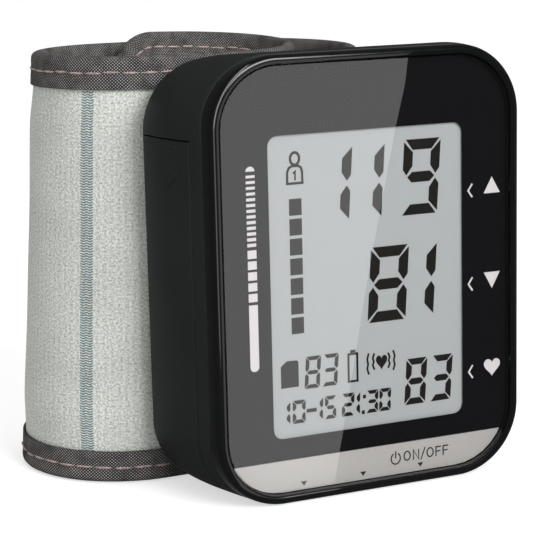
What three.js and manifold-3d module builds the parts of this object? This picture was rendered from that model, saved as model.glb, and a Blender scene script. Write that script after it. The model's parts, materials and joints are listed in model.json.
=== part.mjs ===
// A wrist blood pressure monitor with its cuff rolled closed, standing on its lower edge.
// Millimetres, +Z up. X runs to the right along the display, Y runs back from the display face
// towards the cuff, and Z starts at the surface that the monitor stands on.
import * as THREE from "three";
import { mergeVertices } from "three/addons/utils/BufferGeometryUtils.js";
import Module from "manifold-3d";

const wasm = await Module();
wasm.setup();

// Driving dimensions of the case
const caseWidth = 63.9; // across the front rim
const caseHeight = 84;
const caseDepth = 25; // from the rim's crest to the flat back
const caseCorner = 13.4; // corner radius, seen from the front
const caseSwell = 2.9; // how far each side swells out between the seam and the back
const caseTopFall = 2; // how much lower the top is at the back
const seamDepth = 3; // how deep the front cover's skirt is
const skirtSpread = 0.75; // how far the skirt widens by the seam
const rimRound = 0.9; // rounding of the rim's crest
const backRound = 3; // rounding of the case's back edge
const wall = 1.8;

// Driving dimensions of the display
const rimWidth = 1.7;
const lensGap = 0.15;
const lensThickness = 1.2;
const lensSink = 0.3; // from the rim's crest back to the lens
const filmThickness = 0.2;
const windowLeftBorder = 11.77; // from the rim's outer edge to the window
const windowRightBorder = 11.39;
const windowTopBorder = 14.78;
const windowBottom = 12.18;
const windowCorner = 2;
const stripHeight = 6.25;

// Driving dimensions of the cuff. Its places along X are counted from the rim's left side.
const cuffDrop = 1; // how much lower than the case the cuff is
const bandThickness = 4.6;
const leftFoldRadius = 18.9;
const leftFoldShift = -1.3;
const rightFoldShift = 26.65;
const innerFoldShift = 15.55;
const innerEndShift = 1.45;
const flapHingeShift = -0.05;
const flapThickness = 3.4;
const flapFoldExtra = 1.6; // how much wider than the left fold the flap's fold is
const flapEndAngle = THREE.MathUtils.degToRad(-55);
const innerEndRise = 2.3; // the inner end lies this much too high in the rolled cuff
const flapFall = 0.8; // the flap is this much lower at its free end
const coneShare = 0.073; // how much narrower the loop is at the top
const conePivotShift = 49.45;
const cuffEndCorner = 6;

// Driving dimensions of the edge tape
const tapeWidth = 6.3;
const tapeThickness = 0.45;

// Clearances and mesh fineness
const gap = 0.3; // between pieces that touch on the real object
const tapeGap = 0.2;
const overrun = 1; // how far a cutting body runs past what it cuts
const cornerSteps = 8;
const smallCornerSteps = 4;
const roundSides = 12;
const wireSides = 5;
const stationPitch = 3;
const weldDistance = 1e-4; // points closer than this are one point

// Derived places on the case
const halfWidth = caseWidth / 2;
const leftSide = -halfWidth;
const rearFront = seamDepth + gap;
const backInside = caseDepth - wall;
const lensFront = lensSink;
const lensBack = lensFront + lensThickness;
const filmFront = lensBack + gap;
const filmBack = filmFront + filmThickness;
const pocketFloor = filmBack + gap;
const windowLeft = leftSide + windowLeftBorder;
const windowRight = halfWidth - windowRightBorder;
const windowTop = caseHeight - windowTopBorder;

// Basic solids

// Makes a geometry's closed surface into a solid that can be joined and cut.
function solid(geometry) {
  const bare = new THREE.BufferGeometry();
  bare.setAttribute("position", geometry.getAttribute("position"));
  if (geometry.index) bare.setIndex(geometry.index);
  const merged = mergeVertices(bare, weldDistance);
  return new wasm.Manifold(
    new wasm.Mesh({
      numProp: 3,
      vertProperties: new Float32Array(merged.attributes.position.array),
      triVerts: new Uint32Array(merged.index.array),
    }),
  );
}

function geometryOf(body) {
  const mesh = body.getMesh();
  const geometry = new THREE.BufferGeometry();
  geometry.setAttribute("position", new THREE.BufferAttribute(mesh.vertProperties, 3));
  geometry.setIndex(new THREE.BufferAttribute(mesh.triVerts, 1));
  geometry.computeVertexNormals();
  return geometry;
}

const join = (first, ...others) => others.reduce((sum, other) => sum.add(other), first);
const cut = (body, ...tools) => tools.reduce((rest, tool) => rest.subtract(tool), body);

// A box between two corners.
function block([x0, y0, z0], [x1, y1, z1]) {
  const geometry = new THREE.BoxGeometry(x1 - x0, y1 - y0, z1 - z0);
  geometry.translate((x0 + x1) / 2, (y0 + y1) / 2, (z0 + z1) / 2);
  return solid(geometry);
}

// A round bar that runs back, from one depth to another.
function barBack(x, z, radius, front, back, sides = roundSides) {
  const geometry = new THREE.CylinderGeometry(radius, radius, back - front, sides);
  geometry.translate(x, (front + back) / 2, z);
  return solid(geometry);
}

// A round bar that stands up, from one height to another.
function barUp(x, y, radius, bottom, top, sides = roundSides) {
  const geometry = new THREE.CylinderGeometry(radius, radius, top - bottom, sides);
  geometry.rotateX(Math.PI / 2);
  geometry.translate(x, y, (bottom + top) / 2);
  return solid(geometry);
}

// The points of a rounded rectangle, anticlockwise from its right-hand side.
function roundedOutline({ left, right, bottom, top, radius }, steps = cornerSteps) {
  const centres = [
    [right - radius, top - radius],
    [left + radius, top - radius],
    [left + radius, bottom + radius],
    [right - radius, bottom + radius],
  ];
  return centres.flatMap(([x, y], quarter) => {
    const points = [];
    for (let step = 0; step <= steps; step += 1) {
      const angle = ((quarter + step / steps) * Math.PI) / 2;
      points.push(new THREE.Vector2(x + radius * Math.cos(angle), y + radius * Math.sin(angle)));
    }
    return points;
  });
}

// An outline drawn as seen from the front, made into a plate between two depths.
function plate(outline, front, back) {
  const shape = new THREE.Shape(outline);
  const geometry = new THREE.ExtrudeGeometry(shape, { depth: back - front, bevelEnabled: false });
  geometry.rotateX(Math.PI / 2);
  geometry.translate(0, back, 0);
  return solid(geometry);
}

// An outline drawn as seen from above, made into a slab between two heights.
function slab(outline, bottom, top) {
  const shape = new THREE.Shape(outline);
  const geometry = new THREE.ExtrudeGeometry(shape, { depth: top - bottom, bevelEnabled: false });
  geometry.translate(0, 0, bottom);
  return solid(geometry);
}

// A closed body through rings of points with equal counts. The two end rings are capped, and
// capOutline is the flat form of such a ring.
function loft(rings, capOutline) {
  const count = rings[0].length;
  const last = (rings.length - 1) * count;
  const points = rings.flat();
  const faces = [];
  for (let start = 0; start < last; start += count) {
    for (let i = 0; i < count; i += 1) {
      const a = start + i;
      const b = start + ((i + 1) % count);
      faces.push([a, b, b + count], [a, b + count, a + count]);
    }
  }
  const clockwise = THREE.ShapeUtils.isClockWise(capOutline);
  for (const triangle of THREE.ShapeUtils.triangulateShape([...capOutline], [])) {
    const [a, b, c] = clockwise ? triangle.reverse() : triangle;
    faces.push([c, b, a], [last + a, last + b, last + c]);
  }
  const volume = faces.reduce(
    (sum, [a, b, c]) => sum + points[a].dot(points[b].clone().cross(points[c])),
    0,
  );
  const outward = volume > 0 ? faces : faces.map(([a, b, c]) => [c, b, a]);
  const geometry = new THREE.BufferGeometry().setFromPoints(points);
  geometry.setIndex(outward.flat());
  return solid(geometry);
}

function circle(radius, sides) {
  const points = [];
  for (let side = 0; side < sides; side += 1) {
    const angle = (2 * Math.PI * side) / sides;
    points.push(new THREE.Vector2(radius * Math.cos(angle), radius * Math.sin(angle)));
  }
  return points;
}

// A hose of a given radius and bore along a curve.
function hose(curve, radius, bore, steps) {
  const shape = new THREE.Shape(circle(radius, hoseSides));
  shape.holes.push(new THREE.Path(circle(bore, hoseSides).reverse()));
  return solid(new THREE.ExtrudeGeometry(shape, { steps, extrudePath: curve }));
}

// The case's outer form

// Half of the case's width: the skirt widens to the seam, and then the sides swell out.
function sideAt(depth) {
  const skirtShare = THREE.MathUtils.clamp(depth / seamDepth, 0, 1);
  const swellLength = caseDepth - backRound - seamDepth;
  const swellShare = THREE.MathUtils.clamp((depth - seamDepth) / swellLength, 0, 1);
  return halfWidth + skirtSpread * skirtShare + caseSwell * Math.sin((swellShare * Math.PI) / 2);
}

function topAt(depth) {
  const share = THREE.MathUtils.clamp((depth - seamDepth) / (caseDepth - seamDepth), 0, 1);
  return caseHeight - caseTopFall * share * share;
}

// The case's outline at a depth, drawn in by an inset.
function caseOutline(depth, inset) {
  return roundedOutline({
    left: -sideAt(depth) + inset,
    right: sideAt(depth) - inset,
    bottom: inset,
    top: topAt(depth) - inset,
    radius: caseCorner - inset,
  });
}

// A body through case outlines, given as pairs of depth and inset.
function caseLoft(sections) {
  const rings = sections.map(([depth, inset]) =>
    caseOutline(depth, inset).map((p) => new THREE.Vector3(p.x, depth, p.y)),
  );
  return loft(rings, caseOutline(...sections[0]));
}

const swellSteps = 5;
const roundSteps = 3;

function quarterRound(radius, edgeDepth, outwards) {
  const sections = [];
  for (let step = 0; step <= roundSteps; step += 1) {
    const angle = ((step / roundSteps) * Math.PI) / 2;
    const reach = outwards * radius * Math.sin(angle);
    sections.push([edgeDepth + reach, radius * (1 - Math.cos(angle))]);
  }
  return sections;
}

function swellSections(front, back, inset) {
  const sections = [];
  for (let step = 0; step <= swellSteps; step += 1) {
    sections.push([front + ((back - front) * step) / swellSteps, inset]);
  }
  return sections;
}

function rearOuter() {
  const roundStart = caseDepth - backRound;
  const sides = swellSections(rearFront, roundStart, 0);
  return caseLoft([...sides, ...quarterRound(backRound, roundStart, 1).slice(1)]);
}

function rearInner() {
  return caseLoft(swellSections(rearFront - overrun, backInside, wall));
}

// Fixings shared by the front cover, the rear housing and the screws
const bossSideInset = 5.95; // from the rim's side
const bossEdgeInset = 9; // from the case's top and bottom
const doorBossShift = 3.2; // the boss beside the battery door stands this much further in
const doorBossZ = 5.8;
const bossX = halfWidth - bossSideInset;
const bossTopZ = caseHeight - bossEdgeInset;
const bossPlaces = [
  [-bossX, bossTopZ],
  [bossX, bossTopZ],
  [bossX, bossEdgeInset],
  [-bossX + doorBossShift, doorBossZ],
];
const bossRadius = 2.4;
const bossSetback = 4.7; // from the case's back to the end of the front cover's bosses
const bossEnd = caseDepth - bossSetback;
const pilotRadius = 1.15;
const pilotLength = 10.3;
const pilotDepth = bossEnd - pilotLength;
const screwRadius = 0.85;
const screwTipClearance = 1;
const screwTip = pilotDepth + screwTipClearance;
const screwHeadRadius = 2;
const screwHeadHeight = 1.3;
const screwHeadSetback = 2.4; // from the case's back
const screwHeadSeat = caseDepth - screwHeadSetback;
const driveWidth = 0.6;
const driveDepth = 0.7;

// Front cover

const lens = {
  left: -halfWidth + rimWidth + lensGap,
  right: halfWidth - rimWidth - lensGap,
  bottom: rimWidth + lensGap,
  top: caseHeight - rimWidth - lensGap,
  radius: caseCorner - rimWidth - lensGap,
};

const panelMargin = 1.5; // the display glass runs this far behind the mask
const panel = {
  left: windowLeft - panelMargin,
  right: windowRight + panelMargin,
  bottom: windowBottom - panelMargin,
  top: windowTop + panelMargin,
};
const panelThickness = 1.8;
const panelFront = filmBack + gap;
const panelBack = panelFront + panelThickness;
const coverFloorThickness = 1.2;
const coverFloorBack = pocketFloor + coverFloorThickness;
const tongueLength = 1.6;
const tongueWall = 1;

const boardSideMargin = 2.95; // from the rim's side to the main board
const boardBottom = 13;
const boardTopMargin = 15; // from the case's top
const boardHalfWidth = halfWidth - boardSideMargin;
const boardTop = caseHeight - boardTopMargin;
const postSideInset = 2.4; // from the board's edges
const postEdgeInset = 7;
const postX = boardHalfWidth - postSideInset;
const postLowZ = boardBottom + postEdgeInset;
const postHighZ = boardTop - postEdgeInset;
const screwPostPlaces = [
  [postX, postLowZ],
  [postX, postHighZ],
];
const pinPostPlaces = [
  [-postX, postLowZ],
  [-postX, postHighZ],
];
const postPlaces = [...screwPostPlaces, ...pinPostPlaces];
const postRadius = 2;
const boardFront = 7;
const boardThickness = 1.2;
const boardBack = boardFront + boardThickness;
const boardScrewRadius = 0.7;
const boardScrewHead = 1.5;
const boardScrewHeadHeight = 1;
const boardScrewTip = 4.6;

const grown = (outline, by) => ({
  left: outline.left - by,
  right: outline.right + by,
  bottom: outline.bottom - by,
  top: outline.top + by,
  radius: (outline.radius ?? gap) + by,
});

function frontCover() {
  const rim = quarterRound(rimRound, rimRound, -1).reverse();
  const skirt = caseLoft([...rim, [seamDepth, 0]]);
  const tongueInset = wall + gap;
  const tongueBack = rearFront + tongueLength;
  const tongue = caseLoft([
    [coverFloorBack - gap, tongueInset],
    [tongueBack, tongueInset],
  ]);
  const hollow = caseLoft([
    [coverFloorBack, tongueInset + tongueWall],
    [tongueBack + overrun, tongueInset + tongueWall],
  ]);
  const floor = caseLoft([
    [seamDepth - gap, tongueInset],
    [coverFloorBack, tongueInset],
  ]);
  const pocket = plate(roundedOutline(grown(lens, lensGap)), -overrun, pocketFloor);
  const window = plate(roundedOutline(grown(panel, gap)), 0, coverFloorBack + overrun);
  const bosses = bossPlaces.map(([x, z]) => barBack(x, z, bossRadius, pocketFloor + gap, bossEnd));
  const pilots = bossPlaces.map(([x, z]) =>
    barBack(x, z, pilotRadius, pilotDepth, bossEnd + overrun),
  );
  const posts = postPlaces.map(([x, z]) =>
    barBack(x, z, postRadius, pocketFloor + gap, boardFront - gap),
  );
  const pins = pinPostPlaces.map(([x, z]) =>
    barBack(x, z, boardScrewRadius, pocketFloor + gap, boardBack + gap),
  );
  const postHoles = screwPostPlaces.map(([x, z]) =>
    barBack(x, z, boardScrewRadius + gap, boardScrewTip - gap, boardFront + overrun),
  );
  const shell = join(cut(join(skirt, tongue), hollow), floor);
  return cut(
    join(cut(shell, pocket, window), ...bosses, ...posts, ...pins),
    ...pilots,
    ...postHoles,
  );
}

// Lens, mask and label strip

function displayLens() {
  return plate(roundedOutline(lens), lensFront, lensBack);
}

function filmSheet() {
  return plate(roundedOutline(lens), filmFront, filmBack);
}

const stripTop = lens.bottom + stripHeight;

function belowStripTop(top) {
  return block(
    [lens.left - overrun, filmFront - overrun, lens.bottom - overrun],
    [lens.right + overrun, filmBack + overrun, top],
  );
}

function displayMask() {
  const window = plate(
    roundedOutline({
      left: windowLeft,
      right: windowRight,
      bottom: windowBottom,
      top: windowTop,
      radius: windowCorner,
    }),
    filmFront - overrun,
    filmBack + overrun,
  );
  return cut(filmSheet(), window, belowStripTop(stripTop));
}

function labelStrip() {
  return filmSheet().intersect(belowStripTop(stripTop - lensGap));
}

// Display stack

const reflectorThickness = 0.8;
const reflectorFront = panelBack + gap;
const connectorHeight = 2;
const holderWall = 1.2;
const holderBack = boardFront - gap;

function displayPanel() {
  return block([panel.left, panelFront, panel.bottom], [panel.right, panelBack, panel.top]);
}

function displayReflector() {
  return block(
    [panel.left, reflectorFront, panel.bottom + connectorHeight + gap],
    [panel.right, reflectorFront + reflectorThickness, panel.top],
  );
}

function displayConnector() {
  return block(
    [panel.left + holderWall, panelBack + gap, panel.bottom],
    [panel.right - holderWall, boardFront - gap, panel.bottom + connectorHeight],
  );
}

function displayHolder() {
  const outside = grown(panel, gap + holderWall);
  const front = coverFloorBack + gap;
  const middle = reflectorFront + reflectorThickness + gap;
  const frame = block([outside.left, front, outside.bottom], [outside.right, holderBack, outside.top]);
  const opening = block(
    [panel.left - gap, front - overrun, panel.bottom - gap],
    [panel.right + gap, middle, panel.top + gap],
  );
  const back = block(
    [panel.left + holderWall, middle - overrun, panel.bottom - gap],
    [panel.right - holderWall, holderBack + overrun, panel.top - holderWall],
  );
  return cut(frame, opening, back);
}

// Keys in the underside

const memoryKeyShare = 0.4585; // of the case's width, from its left side
const keyPitchShare = 0.1948;
const keyWidthShare = 0.755; // of the pitch
const memoryKeyX = leftSide + memoryKeyShare * caseWidth;
const keyPitch = keyPitchShare * caseWidth;
const keyPlaces = {
  set_key: memoryKeyX - keyPitch,
  memory_key: memoryKeyX,
  power_key: memoryKeyX + keyPitch,
};
const keyY = 11.5;
const keyWidth = keyWidthShare * keyPitch;
const keyDepth = 4.8;
const keySink = 0.3; // the keys lie this far inside the surface that the case stands on
const keyTravel = 0.6;
const keyFlangeShare = 0.328; // of the space between two keys
const keyFlange = keyFlangeShare * (keyPitch - keyWidth);
const keyFlangeThickness = 0.9;
const keyTop = 4.7;
const keyStemRadius = 1.3;
const switchButtonRadius = 0.9;
const switchButtonBottom = keyTop + keyTravel + lensGap;
const switchBottom = 5.9;
const switchWidth = 4.5;
const keyBoardBottom = 7.6;
const keyBoardThickness = 1;
const keyBoardFront = 8.7;
const keyRibThickness = 1;
const keyRibDepth = 1.2;
const keyRibFront = keyY + keyDepth / 2 + keyFlange + gap;
const keyBoardBack = keyRibFront + keyRibDepth;
const keyBoardMargin = 0.9; // from the boss beside the door, and past the power key
const keyBoardLeft = -bossX + doorBossShift + bossRadius + keyBoardMargin;

function keyOutline(x, grow) {
  const radius = keyDepth / 2 + grow;
  const outline = {
    left: x - keyWidth / 2 - grow,
    right: x + keyWidth / 2 + grow,
    bottom: keyY - radius,
    top: keyY + radius,
    radius,
  };
  return roundedOutline(outline, smallCornerSteps);
}

function key(x) {
  const flangeBottom = wall + gap;
  const cap = slab(keyOutline(x, 0), keySink, flangeBottom + keyFlangeThickness);
  const flange = slab(keyOutline(x, keyFlange), flangeBottom, flangeBottom + keyFlangeThickness);
  const stem = barUp(x, keyY, keyStemRadius, flangeBottom, keyTop);
  return join(cap, flange, stem);
}

function keySwitch(x) {
  const half = switchWidth / 2;
  const bodyTop = keyBoardBottom - gap;
  const body = block([x - half, keyY - half, switchBottom], [x + half, keyY + half, bodyTop]);
  return join(body, barUp(x, keyY, switchButtonRadius, switchButtonBottom, bodyTop));
}

function keyBoard() {
  return block(
    [keyBoardLeft, keyBoardFront, keyBoardBottom],
    [
      keyPlaces.power_key + keyWidth / 2 + keyBoardMargin,
      keyBoardBack,
      keyBoardBottom + keyBoardThickness,
    ],
  );
}

// Ribs of the rear housing behind the keys, which carry the key board.
function keyRibs() {
  const places = Object.values(keyPlaces);
  const between = [(places[0] + places[1]) / 2, (places[1] + places[2]) / 2];
  return between.map((x) =>
    block(
      [x - keyRibThickness / 2, keyRibFront, wall / 2],
      [x + keyRibThickness / 2, keyBoardBack, keyBoardBottom - gap],
    ),
  );
}

// Battery bay

const trayWall = 1;
const trayLift = 0.8; // above the key board
const trayBottom = keyBoardBottom + keyBoardThickness + trayLift;
const traySetback = 0.5; // from the main board
const trayFront = boardBack + traySetback;
const trayBack = backInside - gap;
const trayDoorClearance = 0.95; // from the rim's side
const trayOpenX = leftSide + trayDoorClearance;
const cellPlay = 0.85; // between a cell and the tray's front and back walls
const cellClearance = 0.25;
const cellY = (trayFront + trayBack) / 2;
const cellRadius = (trayBack - trayFront) / 2 - trayWall - cellPlay;
const cellLengthShare = 0.5298; // of the case's height
const cellLength = cellLengthShare * caseHeight;
const cellButtonShare = 0.36; // of the cell's radius
const cellButtonRadius = cellButtonShare * cellRadius;
const cellButtonHeight = 0.8;
const springLength = 4;
const contactThickness = 0.4;
const trayCloseX = trayOpenX + gap + 2 * (2 * cellRadius + cellClearance) + trayWall;
const bayBottom = trayBottom + trayWall;
const bayTop = bayBottom + cellLength + springLength + 2 * (contactThickness + 2 * gap);
const trayTop = bayTop + trayWall;
const outerCellX = trayOpenX + gap + cellRadius;
const innerCellX = outerCellX + 2 * cellRadius + cellClearance;

function batteryTray() {
  const outside = block(
    [trayOpenX, trayFront, trayBottom],
    [trayCloseX, trayBack, trayTop],
  );
  const bay = block(
    [trayOpenX - overrun, trayFront + trayWall, bayBottom],
    [trayCloseX - trayWall, trayBack - trayWall, bayTop],
  );
  return cut(outside, bay);
}

// A cell that stands on its flat end, or upside down. Its positive button is at the other end.
function batteryCell(x, flatEnd, upwards) {
  const profile = [
    [0, 0],
    [cellRadius - gap, 0],
    [cellRadius, gap],
    [cellRadius, cellLength - cellButtonHeight - gap],
    [cellRadius - gap, cellLength - cellButtonHeight],
    [cellButtonRadius, cellLength - cellButtonHeight],
    [cellButtonRadius, cellLength],
    [0, cellLength],
  ].map(([r, along]) => new THREE.Vector2(r, along));
  const geometry = new THREE.LatheGeometry(profile, 2 * roundSides);
  geometry.rotateX(upwards ? Math.PI / 2 : -Math.PI / 2);
  geometry.translate(x, cellY, flatEnd);
  return solid(geometry);
}

const contactShare = 0.76; // of the cell's radius
const contactHalf = contactShare * cellRadius;
const springWire = 0.25;
const springTurns = 3;
const springBaseShare = 0.61; // of the cell's radius
const springTipShare = 0.38;
const springBase = springBaseShare * cellRadius;
const springTip = springTipShare * cellRadius;
const springStepsPerTurn = 8;

// The wire of a spring from a contact plate to a cell's flat end, narrowing towards the cell.
class SpringCurve extends THREE.Curve {
  constructor(x, from, to) {
    super();
    Object.assign(this, { x, from, to });
  }

  getPoint(share) {
    const angle = 2 * Math.PI * springTurns * share;
    const radius = springBase + (springTip - springBase) * share;
    return new THREE.Vector3(
      this.x + radius * Math.cos(angle),
      cellY + radius * Math.sin(angle),
      this.from + (this.to - this.from) * share,
    );
  }
}

// The least gap between neighbouring turns of a spring's wire.
function leastTurnGap(curve) {
  const steps = springTurns * springStepsPerTurn;
  const points = curve.getPoints(steps);
  let least = Infinity;
  for (let i = 0; i < points.length; i += 1) {
    for (let j = i + springStepsPerTurn / 2; j < points.length; j += 1) {
      least = Math.min(least, points[i].distanceTo(points[j]));
    }
  }
  return least - 2 * springWire;
}

function wire(curve, steps) {
  const section = new THREE.Shape(circle(springWire, wireSides));
  return solid(new THREE.ExtrudeGeometry(section, { steps, extrudePath: curve }));
}

function batterySpring(x, plateSide, cellSide) {
  const towards = Math.sign(cellSide - plateSide);
  const clear = (springWire + gap) * towards;
  const curve = new SpringCurve(x, plateSide + clear, cellSide - clear);
  console.log(`spring at ${x.toFixed(1)} mm: least gap between turns ${leastTurnGap(curve).toFixed(2)} mm`);
  return wire(curve, springTurns * springStepsPerTurn);
}

const bottomPlate = [bayBottom + gap, bayBottom + gap + contactThickness];
const topPlate = [bayTop - gap - contactThickness, bayTop - gap];
const outerCellFlat = bottomPlate[1] + gap + springLength;
const innerCellFlat = topPlate[0] - gap - springLength;

function contactPlate(left, right, [bottom, top]) {
  return block([left, cellY - contactHalf, bottom], [right, cellY + contactHalf, top]);
}

function linkContact() {
  return contactPlate(outerCellX - contactHalf, innerCellX + contactHalf, bottomPlate);
}

// Battery door, cut out of the rear housing's side wall

const doorRise = 7.1; // above the battery tray
const doorTop = trayTop + doorRise;
const doorBottom = 2;
const doorFront = 6.2;
const doorBackInset = 2.4; // from the case's back
const doorBack = caseDepth - doorBackInset;
const doorWrap = 2.65; // how far the door reaches in from the rim's side
const doorEdgeX = leftSide + doorWrap;
const doorGap = 0.2;
const doorRibWidth = 1.2;
const doorRibReach = 3;

function doorRegion(shrink) {
  return block(
    [-sideAt(caseDepth) - overrun, doorFront + shrink, doorBottom + shrink],
    [doorEdgeX - shrink, doorBack - shrink, doorTop - shrink],
  );
}

function batteryDoor() {
  const outer = rearOuter();
  const skin = cut(outer, rearInner()).intersect(doorRegion(doorGap));
  const ribEdges = [doorTop - 2 * wall, trayBottom - gap];
  const ribs = ribEdges.map((z) =>
    block(
      [-sideAt(doorBack), doorFront + wall, z - doorRibWidth],
      [-sideAt(doorFront) + doorRibReach, doorBack - 2 * wall, z],
    ).intersect(outer),
  );
  return join(skin, ...ribs);
}

// Places where the cuff's air port and studs pass the case's back
const portShift = 12; // from the rim's left side
const portX = leftSide + portShift;
const hoseRadius = 2.2;
const portLift = 0.9; // between the battery tray and the hose above it
const portZ = trayTop + hoseRadius + portLift;
const portRadius = 1.1;
const portBore = 0.6;
const studMiddleShift = 7.95; // from the rim's left side
const studMiddleX = leftSide + studMiddleShift;
const studSpreadX = 5; // from the middle to each stud
const studMiddleShare = 0.4524; // of the case's height
const studSpreadShare = 0.1905;
const studMiddleZ = studMiddleShare * caseHeight;
const studSpreadZ = studSpreadShare * caseHeight;
const studPlaces = [
  [studMiddleX - studSpreadX, studMiddleZ - studSpreadZ],
  [studMiddleX + studSpreadX, studMiddleZ - studSpreadZ],
  [studMiddleX - studSpreadX, studMiddleZ + studSpreadZ],
  [studMiddleX + studSpreadX, studMiddleZ + studSpreadZ],
];
const studRadius = 1.8;
const studReach = 1.5; // how far the studs pass into the case's back
const studTip = caseDepth - studReach;

// Air system

const airY = (boardBack + backInside) / 2;
const pumpSideInset = 11.95; // from the rim's side
const pumpX = halfWidth - pumpSideInset;
const pumpPlay = 0.7; // between the pump and the board and the housing
const pumpHeadHalf = (backInside - boardBack) / 2 - pumpPlay;
const pumpHeadCorner = 2;
const motorInset = 0.8;
const motorRadius = pumpHeadHalf - motorInset;
const motorBottomShare = 0.355; // of the battery tray's top, which the pump stands beside
const motorLengthShare = 0.242;
const pumpHeadShare = 0.178;
const motorBottom = motorBottomShare * trayTop;
const motorTop = motorBottom + motorLengthShare * trayTop;
const pumpHeadBottom = motorTop + gap;
const pumpHeadTop = pumpHeadBottom + pumpHeadShare * trayTop;
const nippleRadius = 1.1;
const nippleLength = 3.6;
const hoseBore = nippleRadius + gap;
const hoseSides = 10;
const hoseSteps = 9;
const valveRadius = 4.3;
const valveLength = 14;
const valveRise = 1.7; // how much higher than the pump its top is
const valveTop = pumpHeadTop + valveRise;
const valveBottom = valveTop - valveLength;
const openSpan = pumpX - pumpHeadHalf - trayCloseX; // between the battery tray and the pump
const valveSpanShare = 0.5;
const valveX = trayCloseX + valveSpanShare * openSpan;
const sensorSpanShare = 0.94;
const sensorX = trayCloseX + sensorSpanShare * openSpan;
const sensorHalf = 3.5;
const sensorRise = 2; // above the pump
const sensorZ = pumpHeadTop + sensorRise + sensorHalf;
const sensorHeightShare = 0.427; // of the way from the board to the hoses
const sensorHeight = sensorHeightShare * (airY - boardBack);
const sensorNipple = 1.6;
const sensorBendShare = 0.68;
const cuffBendShare = 0.5; // of the way from the hoses to the case's back
const portNippleShare = 0.45;
const manifoldZ = portZ;
const manifoldRadius = 2.3;
const manifoldOverhang = 2.2;

function pumpMotor() {
  const can = barUp(pumpX, airY, motorRadius, motorBottom, motorTop, 2 * roundSides);
  const cap = barUp(pumpX, airY, motorRadius / 2, motorBottom - gap, motorBottom + gap);
  return join(can, cap);
}

function airPump() {
  const outline = roundedOutline({
    left: pumpX - pumpHeadHalf,
    right: pumpX + pumpHeadHalf,
    bottom: airY - pumpHeadHalf,
    top: airY + pumpHeadHalf,
    radius: pumpHeadCorner,
  });
  const head = slab(outline, pumpHeadBottom, pumpHeadTop);
  return join(head, barUp(pumpX, airY, nippleRadius, pumpHeadTop - gap, pumpHeadTop + nippleLength));
}

function releaseValve() {
  const body = barUp(valveX, airY, valveRadius, valveBottom, valveTop, 2 * roundSides);
  return join(body, barUp(valveX, airY, nippleRadius, valveTop - gap, valveTop + nippleLength));
}

// Cradle of the rear housing that holds the valve.
const cradleHeight = 4;

function valveCradle() {
  const top = valveTop - cradleHeight;
  return block(
    [valveX - valveRadius / 2, airY + valveRadius + gap, top - cradleHeight],
    [valveX + valveRadius / 2, backInside + wall / 2, top],
  );
}

function pressureSensor() {
  const front = boardBack + gap;
  const back = front + sensorHeight;
  const body = block(
    [sensorX - sensorHalf, front, sensorZ - sensorHalf],
    [sensorX + sensorHalf, back, sensorZ + sensorHalf],
  );
  return join(body, barBack(sensorX, sensorZ, nippleRadius, back - gap, back + sensorNipple));
}

function airManifold() {
  const left = valveX - manifoldOverhang;
  const right = pumpX + manifoldOverhang;
  const bar = new THREE.CylinderGeometry(manifoldRadius, manifoldRadius, right - left, roundSides);
  bar.rotateZ(Math.PI / 2);
  bar.translate((left + right) / 2, airY, manifoldZ);
  const drops = [valveX, sensorX, pumpX].map((x) =>
    barUp(x, airY, nippleRadius, manifoldZ - manifoldRadius - nippleLength, manifoldZ),
  );
  const outlet = new THREE.CylinderGeometry(nippleRadius, nippleRadius, 2 * nippleLength, roundSides);
  outlet.rotateZ(Math.PI / 2);
  outlet.translate(left, airY, manifoldZ);
  return join(solid(bar), solid(outlet), ...drops);
}

function uprightHose(x, deviceTop) {
  const bottom = new THREE.Vector3(x, airY, deviceTop + gap);
  const top = new THREE.Vector3(x, airY, manifoldZ - manifoldRadius - gap);
  return hose(new THREE.LineCurve3(bottom, top), hoseRadius, hoseBore, 1);
}

// A hose with one bend: from a start, towards a corner, and on to an end.
function bentHose(start, corner, end, bend) {
  const before = corner.clone().add(start.clone().sub(corner).setLength(bend));
  const after = corner.clone().add(end.clone().sub(corner).setLength(bend));
  const route = new THREE.CurvePath();
  route.add(new THREE.LineCurve3(start, before));
  route.add(new THREE.QuadraticBezierCurve3(before, corner, after));
  route.add(new THREE.LineCurve3(after, end));
  return hose(route, hoseRadius, hoseBore, hoseSteps);
}

function sensorHose() {
  const deviceBack = boardBack + gap + sensorHeight;
  return bentHose(
    new THREE.Vector3(sensorX, deviceBack + gap, sensorZ),
    new THREE.Vector3(sensorX, airY, sensorZ),
    new THREE.Vector3(sensorX, airY, manifoldZ - manifoldRadius - gap),
    sensorBendShare * (airY - deviceBack),
  );
}

function cuffHose() {
  return bentHose(
    new THREE.Vector3(valveX - manifoldOverhang - gap, airY, manifoldZ),
    new THREE.Vector3(portX, airY, portZ),
    new THREE.Vector3(portX, backInside - gap, portZ),
    cuffBendShare * (backInside - airY),
  );
}

function airPort() {
  const front = backInside - gap - portNippleShare * (backInside - airY);
  const back = cuffFrontY - bladderOuter - gap;
  return cut(
    barBack(portX, portZ, portRadius, front, back),
    barBack(portX, portZ, portBore, front - overrun, back + overrun),
  );
}

// Rear housing

const portHoleRadius = portRadius + gap;
const counterbore = screwHeadRadius + gap;
const rearBossWall = 0.9;
const rearBossRadius = counterbore + rearBossWall;

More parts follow.
